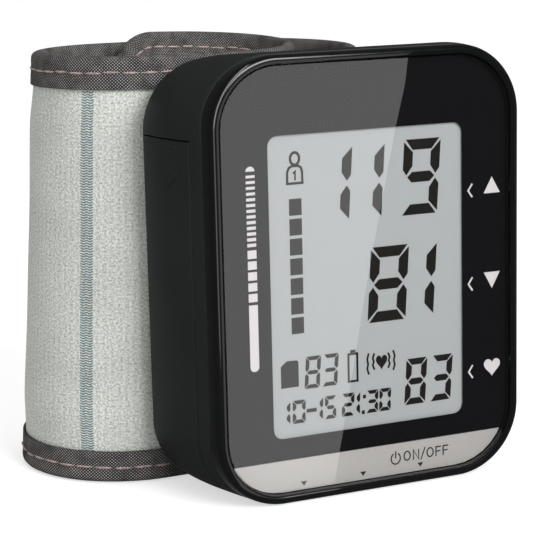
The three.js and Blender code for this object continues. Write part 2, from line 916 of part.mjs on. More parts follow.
function rearHousing() {
  const shell = cut(rearOuter(), rearInner());
  const bosses = bossPlaces.map(([x, z]) =>
    barBack(x, z, rearBossRadius, bossEnd + gap, backInside + wall / 2),
  );
  const screwHoles = bossPlaces.flatMap(([x, z]) => [
    barBack(x, z, pilotRadius, bossEnd, caseDepth + overrun),
    barBack(x, z, counterbore, screwHeadSeat, caseDepth + overrun),
  ]);
  const keyHoles = Object.values(keyPlaces).map((x) =>
    slab(keyOutline(x, gap), -overrun, wall + overrun),
  );
  const studHoles = studPlaces.map(([x, z]) =>
    barBack(x, z, studRadius + gap, backInside - overrun, caseDepth + overrun),
  );
  const portHole = barBack(portX, portZ, portHoleRadius, backInside - overrun, caseDepth + overrun);
  return cut(
    join(shell, ...bosses, ...keyRibs(), valveCradle()),
    doorRegion(0),
    portHole,
    ...screwHoles,
    ...keyHoles,
    ...studHoles,
  );
}

// Screws

function screw([x, z], { tip, seat, shank, head, headHeight }) {
  const body = join(
    barBack(x, z, shank, tip, seat + gap),
    barBack(x, z, head, seat + gap, seat + gap + headHeight),
  );
  const top = seat + gap + headHeight;
  const reach = head / 2;
  const half = driveWidth / 2;
  const slots = [
    block([x - reach, top - driveDepth, z - half], [x + reach, top + overrun, z + half]),
    block([x - half, top - driveDepth, z - reach], [x + half, top + overrun, z + reach]),
  ];
  return cut(body, ...slots);
}

const housingScrew = {
  tip: screwTip,
  seat: screwHeadSeat,
  shank: screwRadius,
  head: screwHeadRadius,
  headHeight: screwHeadHeight,
};

const boardScrew = {
  tip: boardScrewTip,
  seat: boardBack,
  shank: boardScrewRadius,
  head: boardScrewHead,
  headHeight: boardScrewHeadHeight,
};

// Main board and the parts on it

const boardCorner = 2;
const chipSize = 10;
const chipHeight = 1.4;
const memorySize = 4.5;
const buzzerRadius = 4.5;
const buzzerHeight = 2.2;
const crystalLength = 6;
const crystalHeight = 2;

// A place on the board beside the battery tray, in shares of that stretch and of the board's height.
const onBoard = (widthShare, heightShare) => [
  trayCloseX + widthShare * (boardHalfWidth - trayCloseX),
  boardBottom + heightShare * (boardTop - boardBottom),
];
const chipPlace = onBoard(0.3, 0.25);
const memoryPlace = onBoard(0.13, 0.6);
const buzzerPlace = onBoard(0.19, 0.9);
const crystalPlace = onBoard(0.3, 0.06);

function mainBoard() {
  const edges = {
    left: -boardHalfWidth,
    right: boardHalfWidth,
    bottom: boardBottom,
    top: boardTop,
    radius: boardCorner,
  };
  const holes = postPlaces.map(([x, z]) =>
    barBack(x, z, boardScrewRadius + gap, boardFront - overrun, boardBack + overrun),
  );
  return cut(plate(roundedOutline(edges, smallCornerSteps), boardFront, boardBack), ...holes);
}

function chip([x, z], width, height, thickness) {
  const front = boardBack + gap;
  return block([x - width / 2, front, z - height / 2], [x + width / 2, front + thickness, z + height / 2]);
}

function buzzer() {
  const front = boardBack + gap;
  return barBack(...buzzerPlace, buzzerRadius, front, front + buzzerHeight, 2 * roundSides);
}

// The cuff, as a band that follows a plan curve

const cuffHeight = caseHeight - cuffDrop;
const leftFoldX = leftSide + leftFoldShift;
const rightFoldX = leftSide + rightFoldShift;
const innerFoldX = leftSide + innerFoldShift;
const innerEndX = leftSide + innerEndShift;
const flapHingeX = leftSide + flapHingeShift;
const conePivotX = leftSide + conePivotShift;
const flapFoldRadius = leftFoldRadius + flapFoldExtra;
const saddleThickness = 1;
const bandHalf = bandThickness / 2;
const cuffFrontY = caseDepth + saddleThickness + 2 * gap + bandHalf; // middle of the band on the case
const outerBackY = cuffFrontY + 2 * leftFoldRadius;
const tapeOuter = bandHalf + tapeGap + tapeThickness;
const tapeInner = bandHalf + tapeGap;
const flapInner = bandHalf - flapThickness;
const layerGap = 0.4;
const tapeStack = 2 * (tapeGap + tapeThickness) + layerGap;
const innerBackY = outerBackY + flapInner - tapeStack - bandHalf;
const innerFoldRadius = (innerBackY - cuffFrontY) / 2;

// The middle line from the inner end, round the inner fold, along the case and round the left fold.
function bandPath() {
  const path = new THREE.Path();
  path.moveTo(innerEndX, innerBackY);
  path.lineTo(innerFoldX, innerBackY);
  path.absarc(innerFoldX, cuffFrontY + innerFoldRadius, innerFoldRadius, Math.PI / 2, -Math.PI / 2, true);
  path.lineTo(leftFoldX, cuffFrontY);
  path.absarc(leftFoldX, cuffFrontY + leftFoldRadius, leftFoldRadius, -Math.PI / 2, Math.PI / 2, true);
  path.lineTo(flapHingeX, outerBackY);
  return path;
}

// The line that the flap follows over the inner end, to its own free end behind the case.
function flapPath() {
  const path = new THREE.Path();
  path.moveTo(flapHingeX + gap, outerBackY);
  path.lineTo(rightFoldX, outerBackY);
  path.absarc(rightFoldX, outerBackY - flapFoldRadius, flapFoldRadius, Math.PI / 2, flapEndAngle, true);
  return path;
}

// A place along a path, with the direction that faces out of the rolled cuff. Past an end of the
// path it runs straight on.
function stationAt(path, along) {
  const length = path.getLength();
  const inside = THREE.MathUtils.clamp(along, 0, length);
  const tangent = path.getTangent(inside / length);
  const point = path.getPoint(inside / length).addScaledVector(tangent, along - inside);
  return { along, point, outward: new THREE.Vector2(-tangent.y, tangent.x) };
}

function stations(path, from = 0, to = path.getLength()) {
  const steps = Math.ceil((to - from) / stationPitch);
  const places = [];
  for (let step = 0; step <= steps; step += 1) {
    places.push(stationAt(path, from + ((to - from) * step) / steps));
  }
  return places;
}

// Narrows the loop towards its top, as the cuff is cut for a wrist that tapers.
function coned(x, z) {
  return conePivotX + (x - conePivotX) * (1 - (coneShare * z) / cuffHeight);
}

// A body along stations. sectionAt gives each station's outline as pairs of distance outwards and height.
function band(places, sectionAt) {
  const rings = places.map((station) =>
    sectionAt(station).map(([out, z]) => {
      const x = station.point.x + station.outward.x * out;
      const y = station.point.y + station.outward.y * out;
      return new THREE.Vector3(coned(x, z), y, z);
    }),
  );
  return loft(rings, sectionAt(places[0]).map(([out, z]) => new THREE.Vector2(out, z)));
}

const smooth = (share) => THREE.MathUtils.smoothstep(share, 0, 1);

// How much a rounded free end takes off the band's height at a distance from that end.
function cornerDrop(distance) {
  const into = THREE.MathUtils.clamp(cuffEndCorner - distance, 0, cuffEndCorner);
  return cuffEndCorner - Math.sqrt(cuffEndCorner ** 2 - into ** 2);
}

// The fixed band's lower and upper edge. Towards its inner end it lies too high.
function bandEdges({ along }) {
  const foldEnd = innerFoldX - innerEndX + Math.PI * innerFoldRadius;
  const rise = innerEndRise * (1 - smooth(along / foldEnd));
  const drop = cornerDrop(along);
  return { bottom: rise + drop, top: cuffHeight + rise - drop };
}

const flapLength = flapPath().getLength();

function flapEdges({ along }) {
  const drop = cornerDrop(flapLength - along);
  return { bottom: drop, top: cuffHeight - flapFall * smooth(along / flapLength) - drop };
}

// A layer between two distances outwards, held inside the edge tape.
function layer(places, edgesAt, inner, outer, margin) {
  return band(places, (station) => {
    const { bottom, top } = edgesAt(station);
    return [
      [inner, bottom + margin],
      [outer, bottom + margin],
      [outer, top - margin],
      [inner, top - margin],
    ];
  });
}

// A tape folded over an edge: a channel that is open downwards along the upper edge, with
// side 1, or upwards along the lower edge, with side -1.
function edgeTape(places, edgesAt, inner, outer, side) {
  return band(places, (station) => {
    const { bottom, top } = edgesAt(station);
    const edge = side > 0 ? top : bottom;
    const fold = edge - side * tapeThickness;
    const hem = edge - side * tapeWidth;
    return [
      [inner - tapeThickness, hem],
      [inner, hem],
      [inner, fold],
      [outer, fold],
      [outer, hem],
      [outer + tapeThickness, hem],
      [outer + tapeThickness, edge],
      [inner - tapeThickness, edge],
    ];
  });
}

// The tape over a free end, between the upper and the lower tape.
function endTape(path, edgesAt, inner, outer, end) {
  const length = path.getLength();
  const tip = tapeGap + tapeThickness;
  const [from, to] = end === "start" ? [-tip, tapeWidth] : [length - tapeWidth, length + tip];
  const [hollowFrom, hollowTo] =
    end === "start" ? [-tapeGap, tapeWidth + overrun] : [from - overrun, length + tapeGap];
  const margin = cuffEndCorner + tapeWidth + gap;
  const level = () => edgesAt({ along: end === "start" ? cuffEndCorner : length - cuffEndCorner });
  const face = outer + tapeThickness;
  const outside = layer(stations(path, from, to), level, inner - tapeThickness, face, margin);
  const inside = layer(stations(path, hollowFrom, hollowTo), level, inner, outer, margin - overrun);
  return cut(outside, inside);
}

const fabricMargin = tapeThickness + tapeGap;
const fabricThickness = 1;
const curlerThickness = 0.6;
const curlerOuter = bandHalf - fabricThickness - gap;
const bladderOuter = curlerOuter - curlerThickness - gap;
const liningInner = -bandHalf;
const bladderInner = liningInner + fabricThickness + gap;
const curlerMargin = 5;
const bladderMargin = 10;
const bladderEndMargin = 8;

function cuffHoles(radius, places) {
  return places.map(([x, z]) =>
    barBack(x, z, radius, cuffFrontY - bandHalf - overrun, cuffFrontY),
  );
}

function cuffOuterCloth() {
  const cloth = layer(
    stations(bandPath()),
    bandEdges,
    bandHalf - fabricThickness,
    bandHalf,
    fabricMargin,
  );
  return cut(
    cloth,
    ...cuffHoles(studRadius + gap, studPlaces),
    ...cuffHoles(portHoleRadius, [[portX, portZ]]),
  );
}

function cuffLining() {
  const inner = liningInner;
  return layer(stations(bandPath()), bandEdges, inner, inner + fabricThickness, fabricMargin);
}

function cuffCurler() {
  const path = bandPath();
  const places = stations(path, cuffEndCorner, path.getLength() - curlerMargin);
  const sheet = layer(places, bandEdges, curlerOuter - curlerThickness, curlerOuter, curlerMargin);
  const seat = cuffFrontY - curlerOuter + curlerThickness / 2;
  const studs = studPlaces.map(([x, z]) => barBack(x, z, studRadius, studTip, seat));
  return cut(join(sheet, ...studs), ...cuffHoles(portHoleRadius, [[portX, portZ]]));
}

function cuffBladder() {
  const path = bandPath();
  const places = stations(path, bladderEndMargin, path.getLength() - bladderEndMargin);
  return layer(places, bandEdges, bladderInner, bladderOuter, bladderMargin);
}

const saddleMargin = 3;
const saddle = {
  left: studPlaces[0][0] - studRadius - saddleMargin,
  right: studPlaces[1][0] + studRadius + saddleMargin,
  bottom: tapeWidth + saddleMargin,
  top: portZ + saddleMargin,
  radius: saddleMargin,
};

function cuffSaddle() {
  const front = caseDepth + gap;
  const back = front + saddleThickness;
  const holes = studPlaces.map(([x, z]) =>
    barBack(x, z, studRadius + gap, front - overrun, back + overrun),
  );
  const portHole = barBack(portX, portZ, portHoleRadius, front - overrun, back + overrun);
  return cut(plate(roundedOutline(saddle), front, back), portHole, ...holes);
}

const hookThickness = 1.1;
const hookLength = 22;
const hookMargin = 12;
const hookStart = tapeWidth + innerEndX - flapHingeX + gap;

function flapCloth() {
  return layer(stations(flapPath()), flapEdges, flapInner, bandHalf, fabricMargin);
}

function hookPatch() {
  const places = stations(flapPath(), hookStart, hookStart + hookLength);
  const outer = flapInner - gap;
  return layer(places, flapEdges, outer - hookThickness, outer, hookMargin);
}

// Finishes, from the real materials
const colour = (hex, roughness, metalness = 0) =>
  new THREE.MeshStandardMaterial({ color: hex, roughness, metalness });

const finishes = {
  glossBlack: colour(0x141517, 0.15),
  mattCharcoal: colour(0x232526, 0.55),
  lensGloss: colour(0x0c0c0f, 0.05),
  silverFoil: colour(0xc3bfbb, 0.4, 0.5),
  displayGlass: colour(0xb0b6b4, 0.15),
  whitePlastic: colour(0xe4e4e0, 0.5),
  greyRubber: colour(0x6a6d70, 0.8),
  circuitGreen: colour(0x1f5a38, 0.5),
  chipBlack: colour(0x1b1b1d, 0.6),
  steel: colour(0xb9bbbd, 0.3, 1),
  cellJacket: colour(0x3c4a58, 0.4),
  brass: colour(0xb59a57, 0.35, 1),
  hoseSilicone: colour(0xd8dcdd, 0.6),
  loopCloth: colour(0xafb4b1, 0.95),
  darkCloth: colour(0x47484a, 0.9),
  tape: colour(0x3a3c40, 0.85),
  bladderFilm: colour(0x9aa3a8, 0.5),
  curlerPlastic: colour(0xdcdcd8, 0.5),
  hookNylon: colour(0x2a2b2d, 0.9),
};

// Assembly

const monitor = new THREE.Group();

function add(name, body, finish) {
  const mesh = new THREE.Mesh(geometryOf(body), finishes[finish]);
  mesh.name = name;
  monitor.add(mesh);
}

function addScrews(name, places, size) {
  places.forEach((place, index) => add(`${name}_${index + 1}`, screw(place, size), "steel"));
}

function addCase() {
  add("front_cover", frontCover(), "glossBlack");
  add("rear_housing", rearHousing(), "mattCharcoal");
  add("battery_door", batteryDoor(), "mattCharcoal");
  add("display_lens", displayLens(), "lensGloss");
  add("display_mask", displayMask(), "glossBlack");
  add("label_strip", labelStrip(), "silverFoil");
  addScrews("housing_screw", bossPlaces, housingScrew);
}

function addElectronics() {
  add("display_panel", displayPanel(), "displayGlass");
  add("display_reflector", displayReflector(), "whitePlastic");
  add("display_connector", displayConnector(), "greyRubber");
  add("display_holder", displayHolder(), "whitePlastic");
  add("main_board", mainBoard(), "circuitGreen");
  addScrews("board_screw", screwPostPlaces, boardScrew);
  add("controller_chip", chip(chipPlace, chipSize, chipSize, chipHeight), "chipBlack");
  add("memory_chip", chip(memoryPlace, memorySize, memorySize, chipHeight), "chipBlack");
  add("clock_crystal", chip(crystalPlace, crystalLength, crystalHeight, crystalHeight), "steel");
  add("buzzer", buzzer(), "chipBlack");
  add("key_board", keyBoard(), "circuitGreen");
  for (const [name, x] of Object.entries(keyPlaces)) {
    add(name, key(x), "mattCharcoal");
    add(`${name}_switch`, keySwitch(x), "chipBlack");
  }
}

function addBatteries() {
  add("battery_tray", batteryTray(), "mattCharcoal");
  add("outer_battery_cell", batteryCell(outerCellX, outerCellFlat, true), "cellJacket");
  add("inner_battery_cell", batteryCell(innerCellX, innerCellFlat, false), "cellJacket");
  add("outer_cell_spring", batterySpring(outerCellX, bottomPlate[1], outerCellFlat), "steel");
  add("inner_cell_spring", batterySpring(innerCellX, topPlate[0], innerCellFlat), "steel");
  add("cell_link_contact", linkContact(), "steel");
  for (const [name, x] of [["positive_contact", outerCellX], ["negative_contact", innerCellX]]) {
    add(name, contactPlate(x - contactHalf, x + contactHalf, topPlate), "steel");
  }
}

function addAirSystem() {
  add("pump_motor", pumpMotor(), "steel");
  add("air_pump", airPump(), "whitePlastic");
  add("release_valve", releaseValve(), "steel");
  add("pressure_sensor", pressureSensor(), "chipBlack");
  add("air_manifold", airManifold(), "whitePlastic");
  add("pump_hose", uprightHose(pumpX, pumpHeadTop), "hoseSilicone");
  add("valve_hose", uprightHose(valveX, valveTop), "hoseSilicone");
  add("sensor_hose", sensorHose(), "hoseSilicone");
  add("cuff_hose", cuffHose(), "hoseSilicone");
  add("cuff_air_port", airPort(), "whitePlastic");
}

function addCuff() {
  const path = bandPath();
  const places = stations(path);
  add("cuff_outer_cloth", cuffOuterCloth(), "loopCloth");
  add("cuff_lining", cuffLining(), "darkCloth");
  add("cuff_curler", cuffCurler(), "curlerPlastic");
  add("cuff_bladder", cuffBladder(), "bladderFilm");
  add("cuff_saddle", cuffSaddle(), "mattCharcoal");
  add("cuff_top_tape", edgeTape(places, bandEdges, -tapeInner, tapeInner, 1), "tape");
  add("cuff_bottom_tape", edgeTape(places, bandEdges, -tapeInner, tapeInner, -1), "tape");
  add("cuff_end_tape", endTape(path, bandEdges, -tapeInner, tapeInner, "start"), "tape");
}

function addFlap() {
  const path = flapPath();
  const places = stations(path);
  const inner = flapInner - tapeGap;
  add("flap_cloth", flapCloth(), "loopCloth");
  add("flap_hook_patch", hookPatch(), "hookNylon");
  add("flap_top_tape", edgeTape(places, flapEdges, inner, tapeInner, 1), "tape");
  add("flap_bottom_tape", edgeTape(places, flapEdges, inner, tapeInner, -1), "tape");
  add("flap_end_tape", endTape(path, flapEdges, inner, tapeInner, "end"), "tape");
}

addCase();
addElectronics();
addBatteries();
addAirSystem();
addCuff();
addFlap();

// The part's own frame has its origin under the middle of the whole monitor.
const bounds = new THREE.Box3().setFromObject(monitor);
const middle = bounds.getCenter(new THREE.Vector3());
monitor.position.set(-middle.x, -middle.y, -bounds.min.z);

export default monitor;
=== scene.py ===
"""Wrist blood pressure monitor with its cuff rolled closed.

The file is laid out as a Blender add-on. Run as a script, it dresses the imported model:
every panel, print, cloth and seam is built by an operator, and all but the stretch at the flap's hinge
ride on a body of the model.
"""

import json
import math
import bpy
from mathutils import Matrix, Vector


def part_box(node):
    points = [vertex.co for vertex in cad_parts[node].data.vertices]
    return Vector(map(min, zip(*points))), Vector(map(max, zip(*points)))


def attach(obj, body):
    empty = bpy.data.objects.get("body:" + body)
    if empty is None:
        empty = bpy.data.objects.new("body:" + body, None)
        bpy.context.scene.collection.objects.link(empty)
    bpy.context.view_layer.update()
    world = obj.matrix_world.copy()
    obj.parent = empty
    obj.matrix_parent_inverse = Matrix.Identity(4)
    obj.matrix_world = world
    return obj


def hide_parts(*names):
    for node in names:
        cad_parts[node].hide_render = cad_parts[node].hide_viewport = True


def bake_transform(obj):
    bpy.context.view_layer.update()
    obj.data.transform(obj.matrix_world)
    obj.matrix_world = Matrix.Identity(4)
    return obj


bl_info = {
    "name": "Wrist blood pressure monitor",
    "version": (1, 0, 0),
    "blender": (4, 5, 0),
    "location": "View3D > Sidebar > Monitor",
    "description": "Builds a wrist blood pressure monitor with its cuff rolled closed",
    "category": "Add Mesh",
}

import bpy
import bmesh
from mathutils import Matrix, Vector

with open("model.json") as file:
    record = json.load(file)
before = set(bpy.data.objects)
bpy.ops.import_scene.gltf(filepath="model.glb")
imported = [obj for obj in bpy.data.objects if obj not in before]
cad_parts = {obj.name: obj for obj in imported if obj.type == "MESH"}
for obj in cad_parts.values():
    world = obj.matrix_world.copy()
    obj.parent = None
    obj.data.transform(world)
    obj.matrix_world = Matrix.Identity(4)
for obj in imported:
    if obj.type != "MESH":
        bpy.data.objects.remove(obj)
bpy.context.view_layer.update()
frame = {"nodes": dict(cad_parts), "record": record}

MM = 0.001
QUARTER = math.pi / 2


# Properties that a user would change


def linear(hex_colour):
    """An sRGB hex colour as linear red, green and blue."""
    values = [int(hex_colour[i : i + 2], 16) / 255 for i in (1, 3, 5)]
    return [v / 12.92 if v <= 0.04045 else ((v + 0.055) / 1.055) ** 2.4 for v in values]


def length(name, millimetres, description):
    """A size that a user can set, with its default in millimetres."""
    return bpy.props.FloatProperty(
        name=name,
        description=description,
        default=millimetres * MM,
        unit="LENGTH",
        precision=5,
    )


def colour(name, hex_colour, description):
    """A colour that a user can set."""
    return bpy.props.FloatVectorProperty(
        name=name,
        description=description,
        default=linear(hex_colour),
        subtype="COLOR",
        size=3,
        min=0,
        max=1,
    )


class MonitorCaseSizes(bpy.types.PropertyGroup):
    """Sizes of the moulded case."""

    width: length("Width", 63.9, "Across the front rim")
    height: length("Height", 84, "From the ground to the top of the rim")
    depth: length("Depth", 25, "From the rim's crest to the flat back")
    corner: length("Corner radius", 13.4, "Seen from the front")
    swell: length("Swell", 3.6, "How far each side swells out towards the back")
    top_fall: length("Top fall", 2, "How much lower the top is at the back")
    skirt: length("Skirt depth", 3, "From the rim's crest to the parting line")
    skirt_spread: length("Skirt spread", 0.75, "How far the skirt widens by the parting line")
    rim_width: length("Rim width", 1.7, "From the rim's side to the lens pocket")
    rim_round: length("Rim rounding", 1.0, "Outer rounding of the rim")
    crest_round: length("Crest rounding", 0.45, "Inner rounding of the rim")
    back_round: length("Back rounding", 3, "Rounding of the back edge")
    wall: length("Wall", 1.8, "Thickness of the moulded walls")
    seam: length("Parting gap", 0.12, "Gap between the cover and the housing")
    seam_round: length("Parting rounding", 0.22, "Rounding of the edges beside the gap")
    edge_break: length("Edge break", 0.1, "Rounding of the cut edges of openings")


class MonitorDoorSizes(bpy.types.PropertyGroup):
    """Sizes of the battery door."""

    top: length("Top", 68.9, "Height of its upper edge")
    bottom: length("Bottom", 2, "Height of its lower edge")
    front: length("Front", 6.2, "Its front edge, behind the rim's crest")
    back: length("Back", 22.6, "Its back edge, behind the rim's crest")
    wrap: length("Wrap", 2.65, "How far it reaches in from the rim's side")
    gap: length("Gap", 0.28, "Gap round the door")
    mark_y: length("Mark place", 10.4, "From the rim's crest to the raised marks")
    mark_z: length("Mark height", 67.4, "Height of the uppermost raised dot")
    dot_radius: length("Dot radius", 0.26, "Radius of the raised dots")
    dot_pitch: length("Dot pitch", 1.67, "Spacing of the raised dots")
    dots: bpy.props.IntProperty(name="Dots", description="Number of raised dots", default=4)
    line_drop: length("Line place", 5.511, "From the uppermost dot down to the raised line")
    line_reach: length("Line reach", 2.8, "How far back the raised line runs")
    line_fall: length("Line fall", 2.016, "How far down the raised line runs")


class MonitorFaceSizes(bpy.types.PropertyGroup):
    """Sizes of the lens, the prints behind it and the display."""

    lens_sink: length("Lens sink", 0.3, "From the rim's crest back to the lens")
    lens_thickness: length("Lens thickness", 1.2, "Thickness of the lens")
    lens_gap: length("Lens gap", 0.15, "Gap between the lens and the rim")
    lens_chamfer: length("Lens chamfer", 0.12, "Polished edge of the lens")
    print_depth: length("Print depth", 1.8, "From the rim's crest back to the mask")
    glass_depth: length("Glass depth", 2.3, "From the rim's crest back to the display glass")
    window_left: length("Window left", -20.14, "Left side of the window")
    window_bottom: length("Window bottom", 12.13, "Lower side of the window")
    ink: length("Ink", 0.03, "Thickness of the printed and displayed figures")
    ink_gap: length("Ink gap", 0.01, "Gap between a figure and what it is on")
    pocket_floor: length("Pocket floor", 2.3, "From the rim's crest back to the pocket's floor")
    floor_back: length("Floor back", 3.5, "From the rim's crest to the back of that floor")
    tongue_end: length("Tongue end", 4.9, "From the rim's crest to the end of the tongue")


class MonitorCuffSizes(bpy.types.PropertyGroup):
    """Sizes of the rolled cuff."""

    height: length("Height", 83, "Height of the cuff")
    thickness: length("Thickness", 4.6, "Thickness of the padded strip")
    flap_thickness: length("Flap thickness", 3.4, "Thickness of the closing flap")
    left_fold: length("Left fold", 18.9, "Radius of the fold beside the case")
    left_fold_x: length("Left fold place", -32.6, "Middle of the left fold, from the face's middle")
    inner_fold_x: length("Inner fold place", -16.4, "Middle of the inner fold")
    right_fold_x: length("Right fold place", -5.3, "Middle of the flap's fold")
    inner_end_x: length("Inner end place", -30.5, "Free end inside the roll")
    hinge_x: length("Flap place", -32, "Where the flap begins")
    front_y: length("Front layer", 28.9, "Middle of the layer on the case")
    inner_y: length("Inner layer", 61.6, "Middle of the layer inside the roll")
    outer_y: length("Outer layer", 66.7, "Middle of the outermost layer")
    end_rise: length("End rise", 2.3, "How much too high the inner end lies")
    flap_fall: length("Flap fall", 0.8, "How much lower the flap is at its end")
    cone_pivot: length("Cone middle", 17.5, "The line that the cone narrows towards")
    cone_share: bpy.props.FloatProperty(
        name="Cone share",
        description="How much narrower the roll is at its top",
        default=0.085,
    )
    fill: bpy.props.FloatProperty(
        name="Fill",
        description="How full the padded strip is",
        default=0.35,
    )
    flap_turn: bpy.props.FloatProperty(
        name="Flap turn",
        description="How far the flap follows its fold",
        default=math.radians(145),
        unit="ROTATION",
    )
    cloth: length("Cloth", 0.7, "Thickness of each cloth")
    edge_thickness: length("Edge thickness", 1.5, "Thickness of the strip at its edges")
    edge_slope: length("Edge slope", 12, "How far in from its edges the strip is full")
    curler: length("Curler", 0.6, "Thickness of the sheet that keeps the cuff round")
    curler_inset: length("Curler inset", 5, "From the strip's edges to the curler")
    bladder_inset: length("Bladder inset", 10, "From the strip's edges to the bladder")
    puff: length("Puff", 0.45, "How far the cloth stands out between its edges")
    tape_width: length("Tape width", 6.3, "Width of the edge tape on each side")
    tape_thickness: length("Tape thickness", 0.45, "Thickness of the edge tape")
    tape_stand: length("Tape stand", 0.2, "Gap between the strip and the tape")
    end_corner: length("End corner", 9, "Radius of a free end's corners")
    stitch_pitch: length("Stitch pitch", 3.45, "Spacing of the stitches")
    stitch_length: length("Stitch length", 2.95, "Length of a stitch")
    stitch_inset: length("Stitch inset", 3.1, "From the edge to the row of stitches")
    thread: length("Thread", 0.23, "Radius of the sewing thread")
    hook_start: length("Hook start", 8.4, "From where the flap begins to the hooks")
    hook_length: length("Hook length", 21.7, "Length of the hook strip")
    hook_bottom: length("Hook bottom", 12, "Height of the hooks' lower edge")
    hook_top: length("Hook top", 71, "Height of the hooks' upper edge")
    hook_depth: length("Hook depth", 1.55, "Thickness of the hook strip")
    stripe_place: length("Stripe place", 95.7, "From the inner end to the woven stripe")
    stripe_width: length("Stripe width", 2.4, "Width of the woven stripe")


class MonitorColours(bpy.types.PropertyGroup):
    """Colours of the materials."""

    gloss_black: colour("Gloss black", "#0D0E0F", "Polished front cover")
    charcoal: colour("Charcoal", "#282A2A", "Spark-textured housing")
    mask: colour("Mask", "#0B0B0E", "Ink behind the lens")
    silver: colour("Silver", "#B3B0AD", "Silver print behind the lens")
    polariser: colour("Polariser", "#A6AAAA", "Unlit display")
    segment: colour("Segment", "#1B1917", "Dark display figures")
    white_ink: colour("White ink", "#CFCBCB", "Marks on the mask")
    dark_ink: colour("Dark ink", "#2A2A2A", "Marks on the silver print")
    cloth: colour("Loop cloth", "#DADED7", "Outside of the cuff")
    stripe: colour("Stripe", "#5F7A7E", "Woven stripe of the loop cloth")
    lining: colour("Lining", "#55554F", "Inside of the cuff")
    tape: colour("Tape", "#26272A", "Edge binding")
    tape_dot: colour("Tape dots", "#B4B0AC", "Light threads of the binding")
    thread: colour("Thread", "#B99E98", "Sewing thread")


def case():
    return bpy.context.scene.monitor_case


def door():
    return bpy.context.scene.monitor_door


def face():
    return bpy.context.scene.monitor_face


def cuff():
    return bpy.context.scene.monitor_cuff


def colours():
    return bpy.context.scene.monitor_colours


# Places: the face's middle, the rim's crest and the ground are the zeros of a place

LENS_LOW, LENS_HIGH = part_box("display_lens")
FACE_MIDDLE = (LENS_LOW.x + LENS_HIGH.x) / 2


def placed(x, y, z):
    """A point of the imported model's frame, from its place on the object."""
    return Vector((FACE_MIDDLE + x, LENS_LOW.y - face().lens_sink + y, z))


# Meshes


def skin(rings, closed=False):
    """Points and faces over rings of points with equal counts, capped unless closed."""
    count = len(rings[0])
    points = [point for ring in rings for point in ring]
    faces = []
    for band in range(len(rings) if closed else len(rings) - 1):
        a = band * count
        b = (band + 1) % len(rings) * count
        for i in range(count):
            j = (i + 1) % count
            faces.append((a + i, a + j, b + j, b + i))
    if not closed:
        faces.append(tuple(range(count)))
        faces.append(tuple(range(len(points) - count, len(points))))
    return points, faces


def joined(*skins):
    """Several skins as one."""
    points, faces = [], []
    for more_points, more_faces in skins:
        start = len(points)
        points += more_points
        faces += [tuple(start + i for i in loop) for loop in more_faces]
    return points, faces


def tidy_normals(mesh):
    work = bmesh.new()
    work.from_mesh(mesh)
    bmesh.ops.recalc_face_normals(work, faces=work.faces)
    work.to_mesh(mesh)
    work.free()


SHARP_ANGLE = 35  # faces that meet more steeply have a hard edge between them
SOFT_ANGLE = 60  # the same for cloth, tape, thread and other small soft forms


def make_object(name, points, faces, sharp=SHARP_ANGLE):
    """An object from points and faces, shaded smooth up to an angle in degrees."""
    mesh = bpy.data.meshes.new(name)
    mesh.from_pydata([tuple(p) for p in points], [], faces)
    tidy_normals(mesh)
    mesh.shade_smooth()
    mesh.set_sharp_from_angle(angle=math.radians(sharp))
    piece = bpy.data.objects.new(name, mesh)
    bpy.context.scene.collection.objects.link(piece)
    return piece


def settle(piece):
    """Applies a piece's modifiers."""
    bpy.context.view_layer.update()
    graph = bpy.context.evaluated_depsgraph_get()
    mesh = bpy.data.meshes.new_from_object(piece.evaluated_get(graph))
    piece.modifiers.clear()
    piece.data = mesh
    mesh.shade_smooth()
    mesh.set_sharp_from_angle(angle=math.radians(SHARP_ANGLE))


def combine(piece, operation, *tools):
    """Cuts, meets or joins a piece with tools, which are used up."""
    for tool in tools:
        change = piece.modifiers.new("Combine", "BOOLEAN")
        change.operation = operation
        change.solver = "MANIFOLD"
        change.object = tool
    settle(piece)
    for tool in tools:
        bpy.data.objects.remove(tool)
    return piece


def add_uvs(piece, uvs):
    """Lays a flat pattern on a piece from a pair of lengths for each of its points."""
    layer = piece.data.uv_layers.new(name="Pattern")
    for loop in piece.data.loops:
        layer.data[loop.index].uv = uvs[loop.vertex_index]


def finish_piece(piece, body, slot, *replaced, finish=None):
    """Gives a piece its body and material, and hides what it stands for.

    The material is the one that is named like the slot, unless a finish is given.
    """
    piece.data.materials.clear()
    piece.data.materials.append(material_named(finish or slot))
    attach(piece, body)
    if replaced:
        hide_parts(*replaced)


def rounded_outline(left, right, bottom, top, radius, steps):
    """Points across and up of a rounded rectangle, anticlockwise from its right side."""
    centres = (
        (right - radius, top - radius),
        (left + radius, top - radius),
        (left + radius, bottom + radius),
        (right - radius, bottom + radius),
    )
    points = []
    for quarter, (x, z) in enumerate(centres):
        for step in range(steps + 1):
            angle = (quarter + step / steps) * QUARTER
            points.append((x + radius * math.cos(angle), z + radius * math.sin(angle)))
    return points


def block(low, high):
    """A box between two places, as a tool for cutting."""
    outline = ((low[0], low[2]), (high[0], low[2]), (high[0], high[2]), (low[0], high[2]))
    return plate("Block", outline, low[1], high[1])


def plate(name, outline, front, back):
    """A flat plate between two depths."""
    rings = [[placed(x, y, z) for x, z in outline] for y in (front, back)]
    return make_object(name, *skin(rings))


def turned(x, z, radius, front, back, steps=32):
    """A round tool that runs back, between two depths."""
    outline = [
        (x + radius * math.cos(4 * QUARTER * i / steps), z + radius * math.sin(4 * QUARTER * i / steps))
        for i in range(steps)
    ]
    return plate("Round", outline, front, back)


# The case's outer form

CORNER_STEPS = 28
SWELL_STEPS = 14
ROUND_STEPS = 10


def share_between(value, low, high):
    """How far a value has come from a low to a high end, from nought to one."""
    return min(max((value - low) / (high - low), 0), 1)


def smooth_share(share):
    """A share that leaves nought and reaches one without a kink."""
    share = min(max(share, 0), 1)
    return share * share * (3 - 2 * share)


